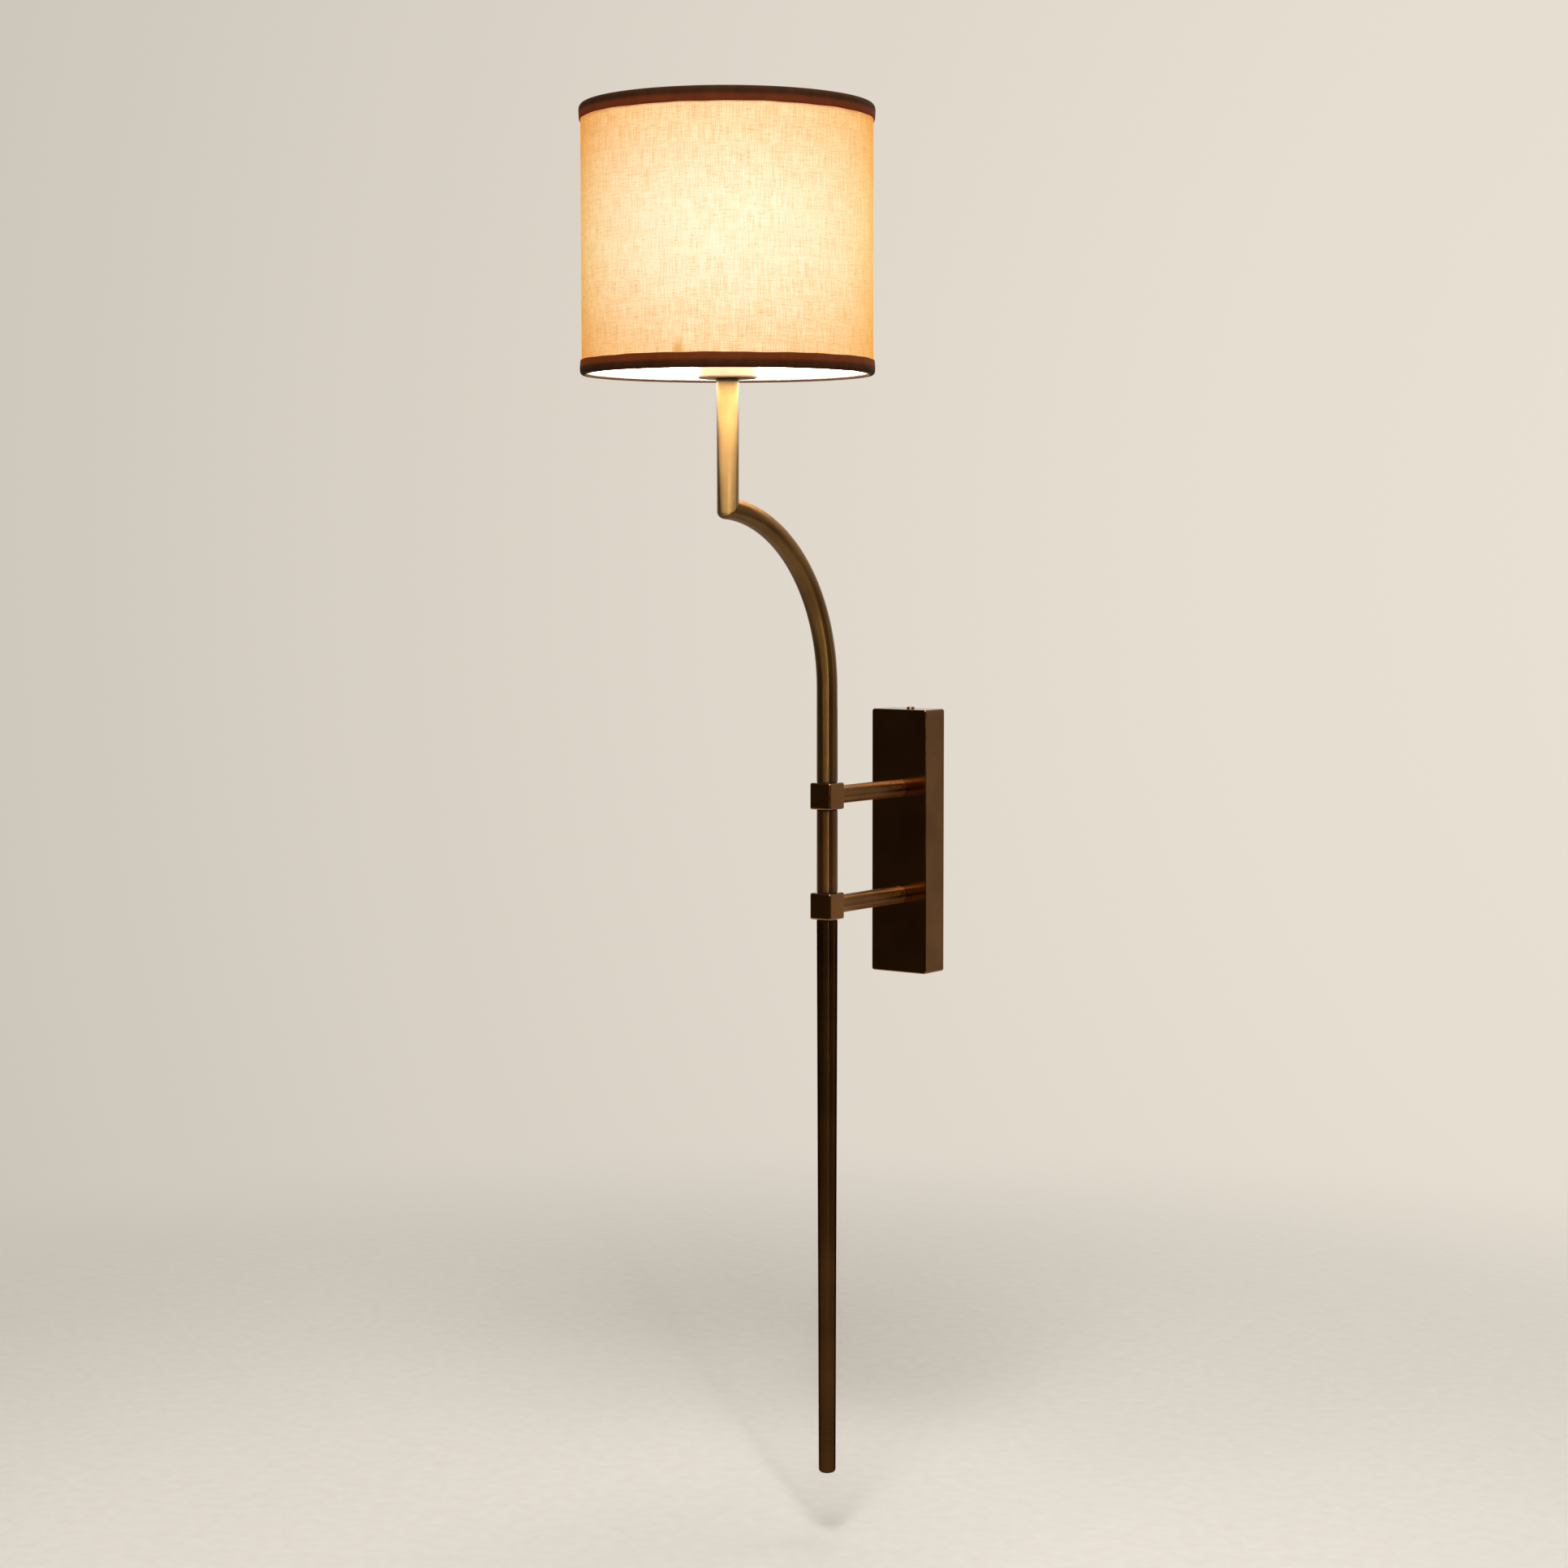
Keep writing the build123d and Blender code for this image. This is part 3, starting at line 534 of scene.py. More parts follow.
@dataclass(frozen=True)
class SlubLinen(Finish):
    """Natural slub linen laminated to the drum, plain weave of uneven hand-like yarn, lit from behind.

    The eye gets a cream glow that turns orange where the cloth is far from the bulb. Thick yarns and
    slubs hold the light back as orange dashes and soft bands, and the weave gives a fine grid. The
    laminate is a thin tinted coat: light that leaves at a slant goes a longer way through it, so that
    the drum turns golden towards its sides.
    """

    glow: LampGlow
    near_thin: str = "#fff2ff"
    near_thick: str = "#ddcdb0"
    far_thin: str = "#f7bf94"
    far_thick: str = "#d09336"
    cloth_thin: str = "#d5d0cd"
    cloth_thick: str = "#ae9f86"
    through: str = "#fff0cc"
    coat_ior: float = 1.05
    coat_roughness: float = 0.9
    level: float = 0.825
    near_band: Span = (0.40, 0.98)
    roughness: float = 0.85
    specular: float = 0.2
    relief: float = 0.35
    relief_depth: float = 0.12 * MM
    yarn: float = 0.9 * MM
    warp_yarn: float = 0.675 * MM
    warp_run: float = 14 * MM
    weft_yarn: float = 0.81 * MM
    weft_run: float = 10 * MM
    warp_bunch: float = 2.6 * MM
    weft_bunch: float = 3.12 * MM
    bunch_run: float = 40 * MM
    slub_width: float = 0.8 * MM
    weft_slub: float = 7 * MM
    warp_slub: float = 9.8 * MM
    fleck: float = 1.08 * MM
    mottle: float = 18 * MM
    weave_share: float = 0.16
    weave_waver: float = 1.2
    weave_bend: float = 0.6
    hold_band: Span = (0.18, 1.17)
    spoke_turn: float = math.radians(-72)
    spoke_count: int = 3
    spoke_height: float = 11 * MM
    spoke_band: Span = (0.9915, 0.9998)
    spoke_dark: float = 1.2

    def paint(self, canvas: Canvas) -> Socket:
        """Lay the weave, the yarn bands and the slubs, and light them from behind."""
        cloth = canvas.add("UVMap", uv_map="cloth")
        place = canvas.place()
        thick = self.thickness(canvas, cloth, self.spoke_shade(canvas, place))
        near = self.blend(canvas, thick, self.near_thin, self.near_thick)
        far = self.blend(canvas, thick, self.far_thin, self.far_thick)
        share = self.ramp(canvas, self.glow.level(canvas, place), self.near_band)
        light = self.blend(canvas, share, far, near)
        colour = self.blend(canvas, thick, self.cloth_thin, self.cloth_thick)
        relief = self.bump(canvas, thick, self.relief_depth, self.relief)
        return canvas.add(
            "BsdfPrincipled",
            {
                "Base Color": colour,
                "Roughness": self.roughness,
                "Specular IOR Level": self.specular,
                "Coat Weight": 1.0,
                "Coat IOR": self.coat_ior,
                "Coat Roughness": self.coat_roughness,
                "Coat Tint": self.through,
                "Normal": relief,
                "Emission Color": light,
                "Emission Strength": self.level,
            },
        )

    def layers(self) -> Mapping[str, ClothLayer]:
        """Kinds of unevenness in the cloth, by name."""
        run = self.bunch_run
        return {
            "warp yarns": ClothLayer((self.warp_yarn, self.warp_run, run), 1.0, (0.36, 0.66), 0.46),
            "weft yarns": ClothLayer((self.weft_run, self.weft_yarn, run), 1.0, (0.38, 0.68), 0.25),
            "warp bunches": ClothLayer((self.warp_bunch, run, run), 2.0, (0.35, 0.65), 0.13),
            "weft bunches": ClothLayer((run, self.weft_bunch, run), 2.0, (0.35, 0.65), 0.13),
            "weft slubs": ClothLayer((self.weft_slub, self.slub_width, run), 1.0, (0.63, 0.73), 0.60),
            "warp slubs": ClothLayer((self.slub_width, self.warp_slub, run), 1.0, (0.65, 0.75), 0.40),
            "flecks": ClothLayer(self.fleck, 0.0, (0.66, 0.78), 0.36),
            "clouds": ClothLayer(self.mottle, 2.0, (0.35, 0.65), 0.10),
        }

    def thickness(self, canvas: Canvas, cloth: Socket, shade: Socket) -> Socket:
        """How much light the cloth holds back, from 0 in its thin places to 1 in the slubs.

        Args:
            canvas: Tree to add to.
            cloth: Coordinates over the flat cloth, in metres.
            shade: Shadow of the wire frame, which adds to the yarn's own.

        Returns:
            The thickness.
        """
        total = shade
        for kind, layer in self.layers().items():
            noise = self.noise(canvas, cloth, layer.size, layer.detail)
            part = self.ramp(canvas, noise, layer.band, (0.0, layer.share))
            total = canvas.math("ADD", total, part, label=kind)
        crossings = self.ramp(canvas, self.weave(canvas, cloth), UNIT, (0.0, self.weave_share))
        total = canvas.math("ADD", total, crossings)
        return self.ramp(canvas, total, self.hold_band)

    def weave(self, canvas: Canvas, cloth: Socket) -> Socket:
        """Crossings of the plain weave, one to each pair of yarns."""
        warp, weft = (
            self.bands(canvas, cloth, self.yarn, way, self.weave_waver, self.weave_bend) for way in "XY"
        )
        return canvas.math("MULTIPLY", warp, weft)

    def spoke_shade(self, canvas: Canvas, place: Socket) -> Socket:
        """Soft shadow on the cloth where each spoke of the frame comes down to the bottom wire.

        Args:
            canvas: Tree to add to.
            place: Coordinates in metres.

        Returns:
            The shadow. Its edges are cosines of the angle off the spoke times the number of spokes.
        """
        arm = canvas.vector("SUBTRACT", place, self.glow.centre)
        across, deep, height = (canvas.add("SeparateXYZ", {0: arm}, out=axis) for axis in "XYZ")
        turn = canvas.math("ARCTAN2", deep, across)
        turn = canvas.math("SUBTRACT", turn, self.spoke_turn)
        turn = canvas.math("MULTIPLY", turn, float(self.spoke_count))
        near = canvas.math("COSINE", turn)
        near = self.ramp(canvas, near, self.spoke_band, (0.0, self.spoke_dark))
        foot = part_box("bottom_trim")[1].z - self.glow.centre.z
        low = self.ramp(canvas, height, (foot, foot + self.spoke_height), (1.0, 0.0))
        return canvas.math("MULTIPLY", near, low)


@dataclass(frozen=True)
class Lining(Finish):
    """White styrene lining inside the drum, seen under the bare bulb.

    The eye gets a plain warm white with the linen's bands showing faintly through the glue.
    """

    glow: LampGlow
    lit: str = "#fffaf0"
    dim: str = "#ffeed2"
    sheet: str = "#f4efe6"
    level: float = 10.0
    light_band: Span = (0.1, 0.5)
    band: float = 3 * MM
    run: float = 50 * MM
    band_detail: float = 2.0
    gloss: Span = (0.42, 0.52)
    ior: float = 1.55

    def paint(self, canvas: Canvas) -> Socket:
        """Lay the faint bands and the light of the bulb."""
        cloth = canvas.add("UVMap", uv_map="cloth")
        place = canvas.place()
        bands = self.noise(canvas, cloth, (self.band, self.run, self.run), self.band_detail)
        share = canvas.math("MULTIPLY", self.glow.level(canvas, place), bands)
        share = self.ramp(canvas, share, self.light_band)
        light = self.blend(canvas, share, self.dim, self.lit)
        gloss = self.ramp(canvas, bands, NOISE_BAND, self.gloss)
        return canvas.add(
            "BsdfPrincipled",
            {
                "Base Color": self.sheet,
                "Roughness": gloss,
                "IOR": self.ior,
                "Emission Color": light,
                "Emission Strength": self.level,
            },
        )


@dataclass(frozen=True)
class BiasTape(Finish):
    """Dark brown cotton bias tape, woven, folded over the drum's edge and glued.

    The eye gets a soft dark brown with fine ribs and a pale bloom of fibre along the fold. Beyond the
    wire the lit drum shines through it a dull red.
    """

    edge: float
    nap: str = "#4c2a10"
    hollow: str = "#361b08"
    shine: str = "#7a2c0c"
    level: float = 0.45
    bloom: str = "#c8955a"
    bloom_weight: float = 0.08
    bloom_roughness: float = 0.4
    roughness: float = 0.9
    specular: float = 0.15
    rib: float = 0.8 * MM
    rib_share: float = 0.4
    rib_waver: float = 1.2
    rib_bend: float = 0.7
    rib_relief: float = 0.5
    rib_depth: float = 0.12 * MM
    patch: float = 9 * MM
    patch_band: Span = (0.35, 0.65)
    patch_share: float = 0.6
    wire_depth: float = 4.2 * MM
    clear_depth: float = 6.4 * MM

    def paint(self, canvas: Canvas) -> Socket:
        """Lay the ribs, the nap and the light that comes through beyond the wire."""
        cloth = canvas.add("UVMap", uv_map="cloth")
        place = canvas.place()
        ribs = self.bands(canvas, cloth, self.rib, "DIAGONAL", self.rib_waver, self.rib_bend)
        patches = self.noise(canvas, cloth, self.patch)
        patches = self.ramp(canvas, patches, self.patch_band, (0.0, self.patch_share))
        worn = canvas.math("MULTIPLY_ADD", ribs, self.rib_share, patches)
        colour = self.blend(canvas, worn, self.nap, self.hollow)
        height = canvas.add("SeparateXYZ", {0: place}, out="Z")
        depth = canvas.math("SUBTRACT", height, self.edge)
        depth = canvas.math("ABSOLUTE", depth)
        open_cloth = self.ramp(canvas, depth, (self.wire_depth, self.clear_depth))
        light = self.blend(canvas, open_cloth, NO_LIGHT, self.shine)
        relief = self.bump(canvas, ribs, self.rib_depth, self.rib_relief)
        return canvas.add(
            "BsdfPrincipled",
            {
                "Base Color": colour,
                "Roughness": self.roughness,
                "Specular IOR Level": self.specular,
                "Sheen Weight": self.bloom_weight,
                "Sheen Roughness": self.bloom_roughness,
                "Sheen Tint": self.bloom,
                "Normal": relief,
                "Emission Color": light,
                "Emission Strength": self.level,
            },
        )


@dataclass(frozen=True)
class StudioFloor(Finish):
    """Pale seamless paper that fades into the backdrop away from the lamp."""

    paper: str = "#f2ede4"
    fibrous: str = "#eee8de"
    fibre: float = 12 * MM
    roughness: float = 0.9
    full: float = 0.55
    gone: float = 1.6

    def paint(self, canvas: Canvas) -> Socket:
        """Lay the paper and let it clear with the distance from its middle."""
        place = canvas.place()
        tone = self.ramp(canvas, self.noise(canvas, place, self.fibre), NOISE_BAND)
        colour = self.blend(canvas, tone, self.paper, self.fibrous)
        paper = canvas.add("BsdfPrincipled", {"Base Color": colour, "Roughness": self.roughness})
        clear = canvas.add("BsdfTransparent")
        reach = canvas.vector("LENGTH", place)
        gone = self.ramp(canvas, reach, (self.full, self.gone), curve="SMOOTHSTEP")
        return canvas.add("MixShader", {0: gone, 1: paper, 2: clear})


def new_object(name: str, data: bpy.types.ID) -> bpy.types.Object:
    """Put a new object into the scene."""
    piece = bpy.data.objects.new(name, data)
    bpy.context.scene.collection.objects.link(piece)
    return piece


def loft_ring(name: str, centre: Vector, outline: Outline, angles: Sequence[float]) -> bpy.types.Object:
    """Carry a closed outline round an upright axis and close the ring.

    The ring's map named cloth holds metres: the first axis runs round the ring and the second along
    the outline.

    Args:
        name: Name of the new piece.
        centre: Point on the axis at height zero.
        outline: Gives the (radius, height) points of the outline at an angle.
        angles: Rising angles at which the outline is laid, over one turn.

    Returns:
        The new piece, smooth shaded, with no material yet.
    """
    sections = [outline(angle) for angle in angles]
    first = sections[0]
    count = len(first)
    verts = [
        (centre.x + radius * math.cos(angle), centre.y + radius * math.sin(angle), height)
        for angle, section in zip(angles, sections)
        for radius, height in section
    ]
    steps = [math.dist(first[row], first[(row + 1) % count]) for row in range(count)]
    run = [sum(steps[:row]) for row in range(count + 1)]
    girth = max(radius for radius, _ in first)
    turns = list(angles) + [angles[0] + math.tau]
    faces, maps = [], []
    for column in range(len(angles)):
        here, there = column * count, (column + 1) % len(angles) * count
        left, right = girth * turns[column], girth * turns[column + 1]
        for row in range(count):
            above = (row + 1) % count
            faces.append((here + row, there + row, there + above, here + above))
            low, high = run[row], run[row + 1]
            maps.extend(((left, low), (right, low), (right, high), (left, high)))
    mesh = bpy.data.meshes.new(name)
    mesh.from_pydata(verts, [], faces)
    layer = mesh.uv_layers.new(name="cloth")
    layer.data.foreach_set("uv", [value for pair in maps for value in pair])
    mesh.shade_smooth()
    mesh.update()
    return new_object(name, mesh)


def ring_angles(count: int, extra: Sequence[float] = ()) -> list[float]:
    """Even angles over one turn, with a few more where a cut edge needs them."""
    even = [math.tau * number / count for number in range(count)]
    return sorted(even + [angle % math.tau for angle in extra])


@dataclass
class SubAssembly:
    """Group of solids that are dressed together."""

    nodes: Mapping[str, bpy.types.Object]

    def finishes(self) -> Mapping[str, Finish]:
        """Finish of each solid, by node."""
        raise NotImplementedError

    def dress(self) -> None:
        """Give each solid its finish."""
        for node, finish in self.finishes().items():
            piece = self.nodes[node]
            material = finish.material()
            if not piece.material_slots:
                piece.data.materials.append(material)
            for slot in piece.material_slots:
                slot.material = material
            LOG.info("%s: %s", node, finish.name)


# Bare and plated metal of the working parts
TURNED_BRASS = PlainMetal("turned_brass")
ZINC_STEEL = PlainMetal("zinc_plated_steel", bright="#c9cbcd", clouded="#a3a7a6", roughness=0.36)
NICKEL_PLATE = PlainMetal("nickel_plate", bright="#d0ccc2", clouded="#b5b0a4", roughness=0.22)

# Plastics, rubber, ceramic, the coat of the shade's wires, and the flex
BLACK_NYLON = Moulded("black_nylon", roughness=0.5)
BROWN_NYLON = Moulded("brown_nylon", light="#54361a", dark="#3f2712", roughness=0.45)
BLACK_RUBBER = Moulded("black_rubber", light="#242322", dark="#191817", roughness=0.7, relief=0.3)
WHITE_NYLON = Moulded("white_nylon", light="#e9e8e2", dark="#dcdad2", roughness=0.4)
PHENOLIC = Moulded("black_phenolic", light="#221f1d", dark="#15120f", roughness=0.3, mottle=3 * MM)
CERAMIC = Moulded("glazed_ceramic", light="#f0eee8", dark="#e5e2d9", roughness=0.12, relief=0.05)
LAMP_PLASTIC = Moulded("lamp_plastic", light="#f2efe8", dark="#e6e2d8", roughness=0.35)
COATED_WIRE = Moulded("coated_wire", light="#f3f0e9", dark="#e8e3d8", roughness=0.3)
GOLD_FLEX = GoldFlex("gold_flex")

# Copies of one antique brass in different tones, with painted shade and light: darkest on the tail,
# darkened on the canopy, lightest on the riser and creamier on the cup
BRASS_BUFFED = AntiqueBrass("antique_brass_buffed")
# Painted shade: the same brass made darker all over, as if the canopy stood in shade
BRASS_CANOPY_SHADED = AntiqueBrass("antique_brass_canopy_painted_shade", relieved="#7f572d", patina="#654120")
BRASS_UPRIGHT = AntiqueBrass(
    "antique_brass_upright_rod", Grain.UPRIGHT_ROD, relieved="#7d562f", patina="#624121", roughness=0.24
)
# Painted shade: the same brass made darker, with dimmer reflections and thinner lacquer, as if the tail
# stood in shade
BRASS_TAIL_SHADED = AntiqueBrass(
    "antique_brass_tail_rod_painted_shade",
    Grain.UPRIGHT_ROD,
    relieved="#523719",
    patina="#3f2a12",
    edge="#6b4f33",
    roughness=0.17,
    lacquer=0.02,
)
BRASS_LEVEL = AntiqueBrass(
    "antique_brass_level_rod", Grain.LEVEL_ROD, relieved="#946738", patina="#744d26", roughness=0.27
)
BRASS_BENT = AntiqueBrass(
    "antique_brass_bent_rod", Grain.BENT_ROD, relieved="#79592d", patina="#5f4320", roughness=0.29
)
# Painted light: the same brass made paler and lighter, as if lit from the glowing shade above
BRASS_RISER_LIT = AntiqueBrass(
    "antique_brass_riser_painted_light", Grain.UPRIGHT_ROD, relieved="#a08254", patina="#84683f", roughness=0.36
)
# Painted light: the same brass set creamier, as if in the lamp's light at the mouth of the shade
BRASS_CUP_LIT = AntiqueBrass(
    "antique_brass_spun_cup_painted_light", Grain.UPRIGHT_ROD, relieved="#8c6a58", patina="#7a5c4d", roughness=0.38
)


@dataclass
class WallMount(SubAssembly):
    """Canopy on its strap, the wiring in it, the two fixed arms and their swivel blocks."""

    def finishes(self) -> Mapping[str, Finish]:
        """Finish of each solid that stays on the wall."""
        return {
            "canopy": BRASS_CANOPY_SHADED,
            "canopy_screws": BRASS_BUFFED,
            "upper_block": BRASS_BUFFED,
            "lower_block": BRASS_BUFFED,
            "upper_arm": BRASS_LEVEL,
            "lower_arm": BRASS_LEVEL,
            "wall_strap": ZINC_STEEL,
            "arm_washers": ZINC_STEEL,
            "arm_nuts": ZINC_STEEL,
            "terminal_screws": ZINC_STEEL,
            "stop_screw": ZINC_STEEL,
            "earth_screw": TURNED_BRASS,
            "arm_nipples": TURNED_BRASS,
            "terminal_sleeves": TURNED_BRASS,
            "terminal_block": WHITE_NYLON,
            "cable_grommet": BLACK_RUBBER,
            "swivel_bushes": BLACK_NYLON,
            "fixed_flex": GOLD_FLEX,
        }


@dataclass
class SwingArm(SubAssembly):
    """Swinging rod: spindle, tail, curved arm and the riser under the lamp."""

    def finishes(self) -> Mapping[str, Finish]:
        """Finish of each solid that swings, up to the neck of the lamp."""
        return {
            "middle_tube": BRASS_UPRIGHT,
            "tail_rod": BRASS_TAIL_SHADED,
            "riser_tube": BRASS_RISER_LIT,
            "curved_arm": BRASS_BENT,
            "spindle": TURNED_BRASS,
            "arm_plug": TURNED_BRASS,
            "riser_plug": TURNED_BRASS,
            "holder_nipple": TURNED_BRASS,
            "neck_washer": BROWN_NYLON,
            "swing_flex": GOLD_FLEX,
        }


@dataclass
class Lampholder(SubAssembly):
    """Socket cup, lampholder and bulb."""

    def finishes(self) -> Mapping[str, Finish]:
        """Finish of each solid on top of the riser."""
        return {
            "socket_cup": BRASS_CUP_LIT,
            "cup_nut": ZINC_STEEL,
            "holder_base": PHENOLIC,
            "holder_skirt": PHENOLIC,
            "clamp_ring": TURNED_BRASS,
            "holder_insert": CERAMIC,
            "centre_contact": TURNED_BRASS,
            "screw_shell": TURNED_BRASS,
            "bulb_cap": NICKEL_PLATE,
            "bulb_body": LAMP_PLASTIC,
            "bulb_globe": OpalGlobe("opal_globe_lit"),
        }


@dataclass
class DrumShade(SubAssembly):
    """Linen drum with its lining, taped edges and wire frame.

    The glow's middle lies light_drop below the globe's, as in the photograph. The lining shows there
    almost to the bottom edge, so the tape's inner lip is short.
    """

    lining_thick: float = 1.0 * MM
    skin_tuck: float = 2.6 * MM
    skin_inset: float = 0.1 * MM
    skin_drift: float = 0.08 * MM
    skin_waves: tuple[int, ...] = (2, 3, 7)
    skin_rows: int = 48
    steps: int = 240
    tape_height: float = 10.0 * MM
    tape_thick: float = 0.6 * MM
    tape_swell: float = 0.10 * MM
    tape_waves: tuple[int, ...] = (4, 9, 13)
    tape_belly: float = 5.5 * MM
    hem_height: float = 1.2 * MM
    hem_inset: float = 0.25 * MM
    hem_drift: float = 0.3 * MM
    hem_waves: tuple[int, ...] = (5, 11, 23)
    fold_height: float = 3.2 * MM
    fold_width: float = 4.2 * MM
    fold_points: int = 14
    lip: float = 0.35 * MM
    lap_angle: float = math.radians(126)
    lap_width: float = 10.0 * MM
    lap_step: float = 0.35 * MM
    lap_edge: float = 0.2 * MM
    lap_print: float = 0.3
    light_drop: float = 8.0 * MM

    def __post_init__(self) -> None:
        """Take the drum's place from its solids, and the light's from the bulb."""
        low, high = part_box("top_trim")
        self.axis = Vector(((low.x + high.x) / 2, (low.y + high.y) / 2, 0.0))
        self.radius = (high.x - low.x) / 2
        self.top = high.z
        self.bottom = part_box("bottom_trim")[0].z
        skin_low, skin_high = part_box("shade_skin")
        self.skin_radius = (skin_high.x - skin_low.x) / 2
        globe_low, globe_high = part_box("bulb_globe")
        middle = globe_high.z - (globe_high.x - globe_low.x) / 2
        light = Vector((self.axis.x, self.axis.y, middle - self.light_drop))
        self.glow = LampGlow(light, self.skin_radius)

    def finishes(self) -> Mapping[str, Finish]:
        """Finish of each solid of the wire frame."""
        return {"shade_top_ring": COATED_WIRE, "shade_frame": COATED_WIRE}

    def build(self) -> None:
        """Make the drum and its two tapes and lay them on the shade's body."""
        drum = self.drum()
        tapes = [
            self.tape("top_tape", self.top, -1, "top_trim"),
            self.tape("bottom_tape", self.bottom, 1, "bottom_trim"),
        ]

    def lap(self, angle: float) -> float:
        """Extra thickness where one end of the cloth is lapped over the other."""
        past = (angle - self.lap_angle) % math.tau * self.skin_radius
        return 0.0 if past > self.lap_width else self.lap_step

    def angles(self) -> list[float]:
        """Angles at which the cloth is laid, with those that give the lapped end its cut edges."""
        sliver = self.lap_edge / self.skin_radius
        far = self.lap_angle + self.lap_width / self.skin_radius
        return ring_angles(self.steps, [self.lap_angle - sliver, self.lap_angle, far, far + sliver])

    def drum(self) -> bpy.types.Object:
        """Make the laminated drum: linen outside, lining inside, with a lapped seam at the back."""
        low, high = self.bottom + self.skin_tuck, self.top - self.skin_tuck
        inner = self.skin_radius - self.lining_thick
        heights = [low + (high - low) * row / self.skin_rows for row in range(self.skin_rows + 1)]

        def outline(angle: float) -> list[Pair]:
            """Outside going up, then inside coming down."""
            drift = self.skin_drift * wander(angle, self.skin_waves)
            outer = self.skin_radius - self.skin_inset + drift + self.lap(angle)
            return [(outer, height) for height in heights] + [(inner, height) for height in heights[::-1]]

        piece = loft_ring("linen_drum", self.axis, outline, self.angles())
        linen = SlubLinen("slub_linen_lit", self.glow)
        lining = Lining("styrene_lining_lit", self.glow)
        piece.data.materials.append(linen.material())
        piece.data.materials.append(lining.material())
        rows = 2 * len(heights)
        for face in piece.data.polygons:
            face.material_index = int(face.index % rows >= len(heights) - 1)
        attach(piece, "shade")
        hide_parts("shade_skin")
        LOG.info("linen_drum: %s outside, %s inside", linen.name, lining.name)
        return piece

    def fold(self, half: float, thick: float) -> list[Pair]:
        """Half round of the tape over the wire, deep outside and short inside, where it is tucked in.

        Args:
            half: Half the width of the half round.
            thick: How far it lies inside the tape's surface at the edge.

        Returns:
            Points as radius and depth from the edge, from the outside to the inside.
        """
        middle = self.radius - self.fold_width / 2
        points = []
        for step in range(self.fold_points + 1):
            turn = math.pi * step / self.fold_points
            deep = self.fold_height if turn < math.pi / 2 else self.lip
            points.append((middle + half * math.cos(turn), deep - (deep - thick) * math.sin(turn)))
        return points

    def tape(self, name: str, edge: float, inward: int, node: str) -> bpy.types.Object:
        """Make the tape folded over one edge of the drum.

        Args:
            name: Name of the new piece.
            edge: Height of the folded edge.
            inward: Direction from the edge towards the middle of the drum, 1 for up and -1 for down.
            node: Solid that the tape stands for.

        Returns:
            The new piece.
        """
        half = self.fold_width / 2
        leg = self.radius - 2 * self.tape_thick

        def outline(angle: float) -> list[Pair]:
            """Outer leg, fold over the wire, short inner leg, and back along the underside."""
            swell = self.tape_swell * wander(angle, self.tape_waves) - self.tape_swell
            swell += self.lap_print * self.lap(angle)
            foot = self.tape_height + self.hem_drift * wander(angle, self.hem_waves)
            points = [
                (leg, foot),
                (leg + self.tape_thick, foot),
                (self.radius - self.hem_inset + swell, foot - self.hem_height),
                (self.radius + swell, self.tape_belly),
            ]
            points += self.fold(half + swell, 0.0)
            points += self.fold(half - 2 * self.tape_thick, self.tape_thick)[::-1]
            ordered = points if inward < 0 else points[::-1]
            return [(radius, edge + inward * depth) for radius, depth in ordered]

        piece = loft_ring(name, self.axis, outline, self.angles())
        finish = BiasTape(f"brown_bias_{name}", edge)
        piece.data.materials.append(finish.material())
        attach(piece, "shade")
        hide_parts(node)
        LOG.info("%s: %s", name, finish.name)
        return piece


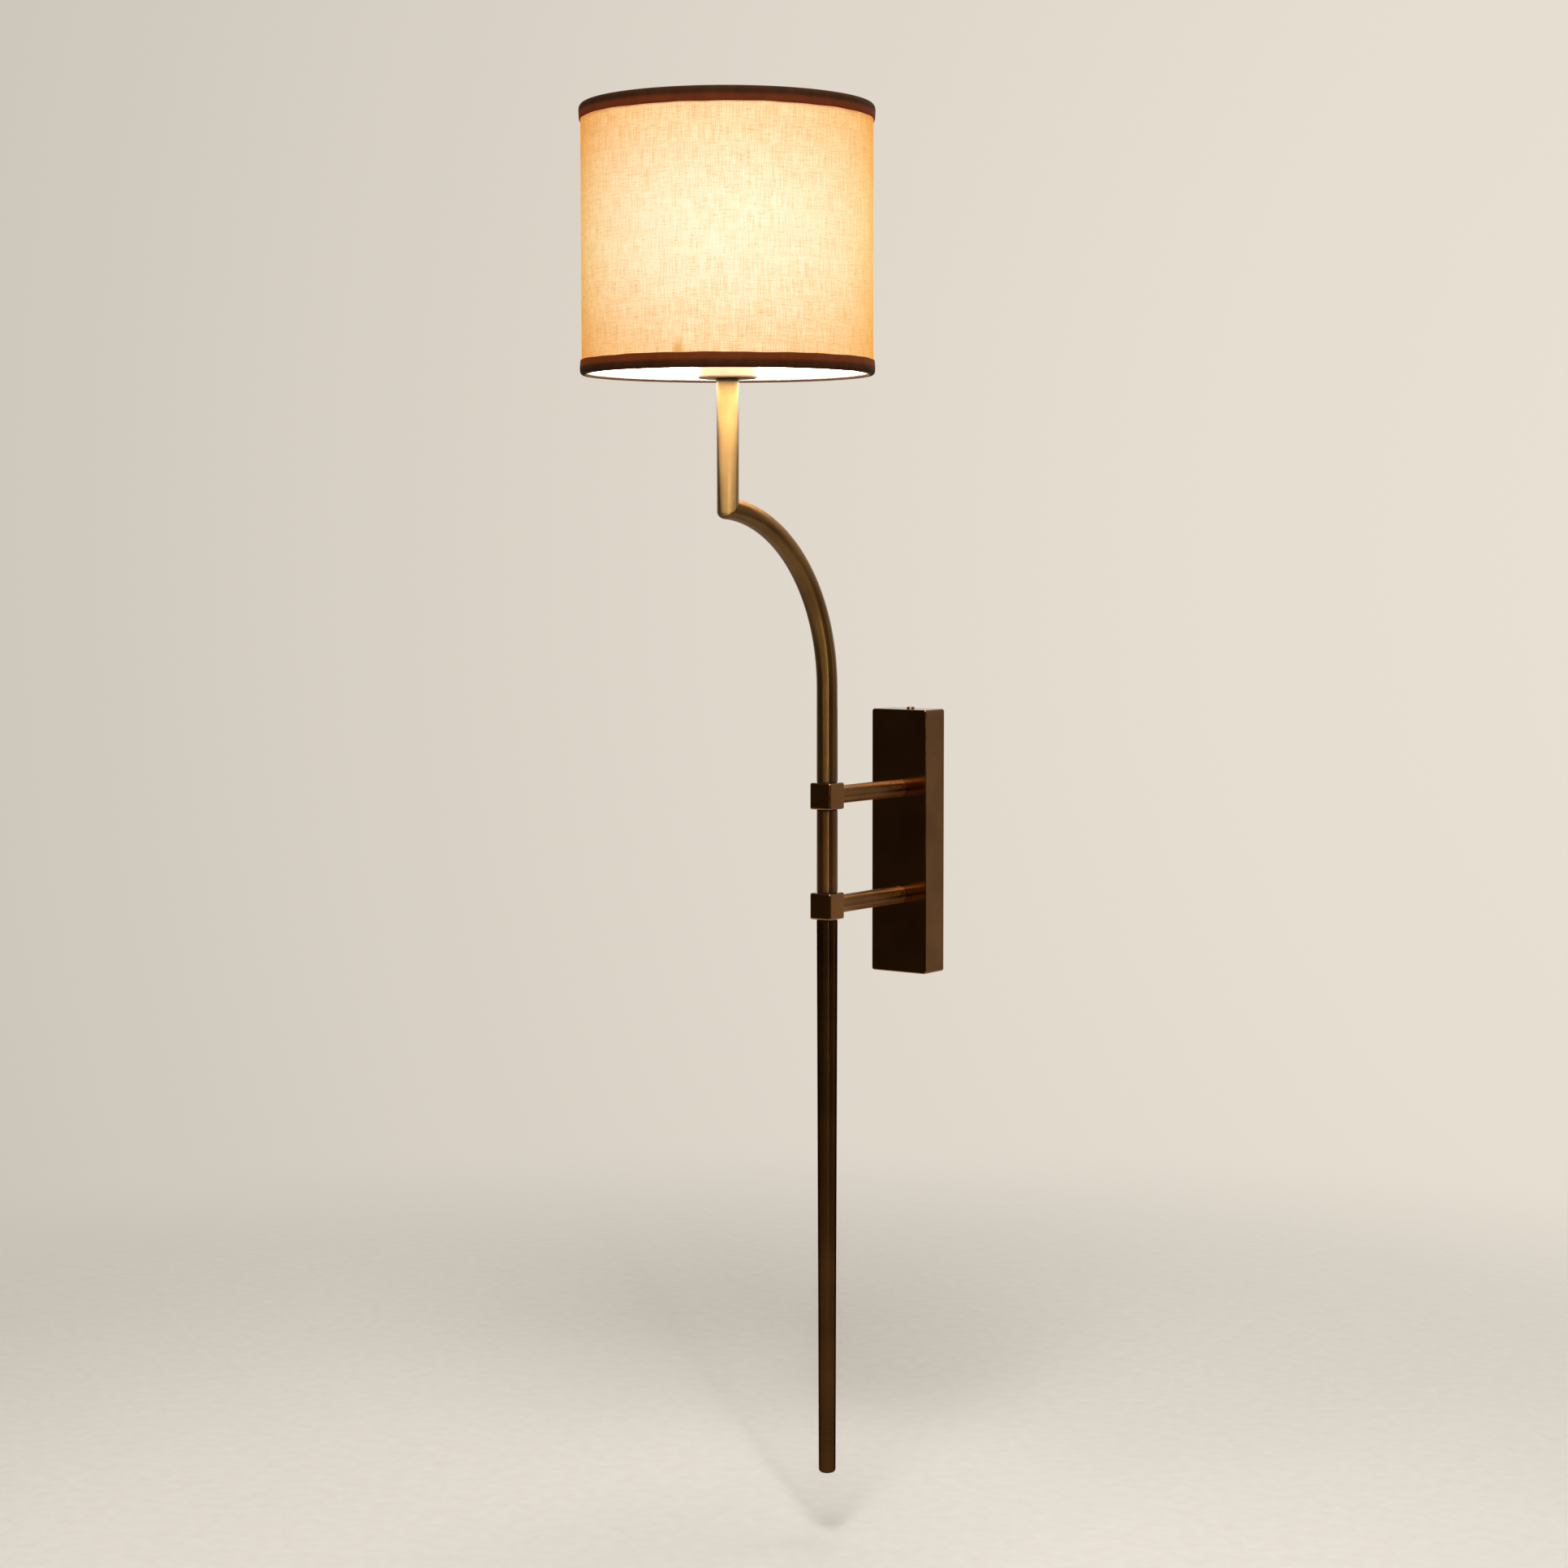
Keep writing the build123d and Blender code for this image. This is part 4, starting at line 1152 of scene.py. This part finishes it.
@dataclass
class Studio:
    """Pale floor, soft light and the camera, whose lens and place were solved from the photograph."""

    floor_drop: float = 0.05
    floor_reach: float = 1.7
    floor_corners: int = 96
    frame_px: float = 1932.0
    focal_px: float = 3863.8
    sensor_mm: float = 36.0
    camera_place: Triple = (1.2854, -1.9429, 0.2172)
    azimuth: float = math.radians(35.92)
    pitch: float = math.radians(-4.331)
    roll: float = math.radians(-0.064)
    aim: Triple = (0.0, -0.18, 0.25)
    open_way: Triple = (-0.25, 0.97, 0.0)
    pale_side: str = "#e9e1d4"
    dark_side: str = "#403b35"
    falloff: float = 3.0
    diffuse_level: float = 0.45

    def build(self) -> None:
        """Set up the whole studio."""
        bpy.context.scene.view_settings.view_transform = "Standard"
        self.camera()
        self.floor()
        self.backdrop()
        self.softbox("key", around=-56, above=50, away=2.4, size=(0.9, 0.9), watts=42.0)
        self.softbox("line", around=-41, above=12, away=2.4, size=(0.07, 1.8), watts=8.0)
        self.softbox("fill", around=-86, above=10, away=2.4, size=(1.1, 1.8), watts=1.6)
        self.softbox("side", around=26, above=12, away=2.4, size=(0.5, 1.8), watts=2.5)
        self.softbox("overhead", around=80, above=72, away=2.2, size=(1.4, 1.4), watts=28.0)

    def camera(self) -> None:
        """Place the camera with the photograph's lens, place and slight roll."""
        forward = Vector(
            (
                -math.sin(self.azimuth) * math.cos(self.pitch),
                math.cos(self.azimuth) * math.cos(self.pitch),
                math.sin(self.pitch),
            )
        )
        right = Vector((math.cos(self.azimuth), math.sin(self.azimuth), 0.0))
        up = right.cross(forward)
        side = right * math.cos(self.roll) + up * math.sin(self.roll)
        top = up * math.cos(self.roll) - right * math.sin(self.roll)
        data = bpy.data.cameras.new("photo_camera")
        data.sensor_width = self.sensor_mm
        data.lens = self.focal_px / self.frame_px * self.sensor_mm
        camera = new_object("photo_camera", data)
        turn = Matrix((side, top, -forward)).transposed()
        camera.matrix_world = Matrix.Translation(self.camera_place) @ turn.to_4x4()
        bpy.context.scene.camera = camera

    def floor(self) -> None:
        """Lay the round paper floor under the tail of the lamp."""
        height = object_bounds()[0].z - self.floor_drop
        reach = self.floor_reach
        turns = ring_angles(self.floor_corners)
        wear_and_glint_edges = [(reach * math.cos(turn), reach * math.sin(turn), 0) for turn in turns]
        mesh = bpy.data.meshes.new("paper_floor")
        mesh.from_pydata(wear_and_glint_edges, [], [tuple(range(len(wear_and_glint_edges)))])
        mesh.materials.append(StudioFloor("seamless_paper").material())
        floor = new_object("paper_floor", mesh)
        floor.location = (0.0, self.aim[1], height)
        floor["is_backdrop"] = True

    def backdrop(self) -> None:
        """Light the world pale behind the lamp and dim in front of it, as a studio with one dark side.

        Matt surfaces get less of that light than the camera and the metal see.
        """
        world = bpy.data.worlds.new("studio")
        world.use_nodes = True
        bpy.context.scene.world = world
        canvas = Canvas(world.node_tree)
        way = canvas.add("TexCoord", out="Generated")
        facing = canvas.vector("DOT_PRODUCT", way, self.open_way)
        open_side = Finish.ramp(canvas, facing, (-1.0, 1.0))
        share = canvas.math("POWER", open_side, self.falloff)
        colour = Finish.blend(canvas, share, self.dark_side, self.pale_side)
        seen = canvas.add("LightPath", out="Is Camera Ray")
        for ray in ("Is Glossy Ray", "Is Transmission Ray"):
            seen = canvas.math("MAXIMUM", seen, canvas.add("LightPath", out=ray))
        level = Finish.ramp(canvas, seen, UNIT, (self.diffuse_level, 1.0))
        light = canvas.add("Background", {"Color": colour, "Strength": level})
        canvas.add("OutputWorld", {"Surface": light})

    def softbox(self, name: str, around: float, above: float, away: float, size: Pair, watts: float) -> None:
        """Place one soft rectangular lamp that points at the sconce.

        Args:
            name: Name of the lamp.
            around: Angle from +X about the upright, in degrees.
            above: Angle above level, in degrees.
            away: Distance from the aim, in metres.
            size: Width and height, in metres.
            watts: Power.
        """
        turn, lift = math.radians(around), math.radians(above)
        way = Vector((math.cos(turn) * math.cos(lift), math.sin(turn) * math.cos(lift), math.sin(lift)))
        data = bpy.data.lights.new(name, "AREA")
        data.shape = "RECTANGLE"
        data.size, data.size_y = size
        data.energy = watts
        lamp = new_object(name, data)
        lamp.location = Vector(self.aim) + way * away
        lamp.rotation_mode = "QUATERNION"
        lamp.rotation_quaternion = way.to_track_quat("Z", "Y")


def main() -> None:
    """Load the frame, dress it, and build the shade and the studio."""
    logging.basicConfig(level=logging.INFO, format="%(name)s %(message)s")
    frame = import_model()
    nodes = frame["nodes"]
    shade = DrumShade(nodes)
    shade.build()
    for group in (WallMount(nodes), SwingArm(nodes), Lampholder(nodes), shade):
        group.dress()
    Studio().build()


if __name__ == "__main__":
    main()
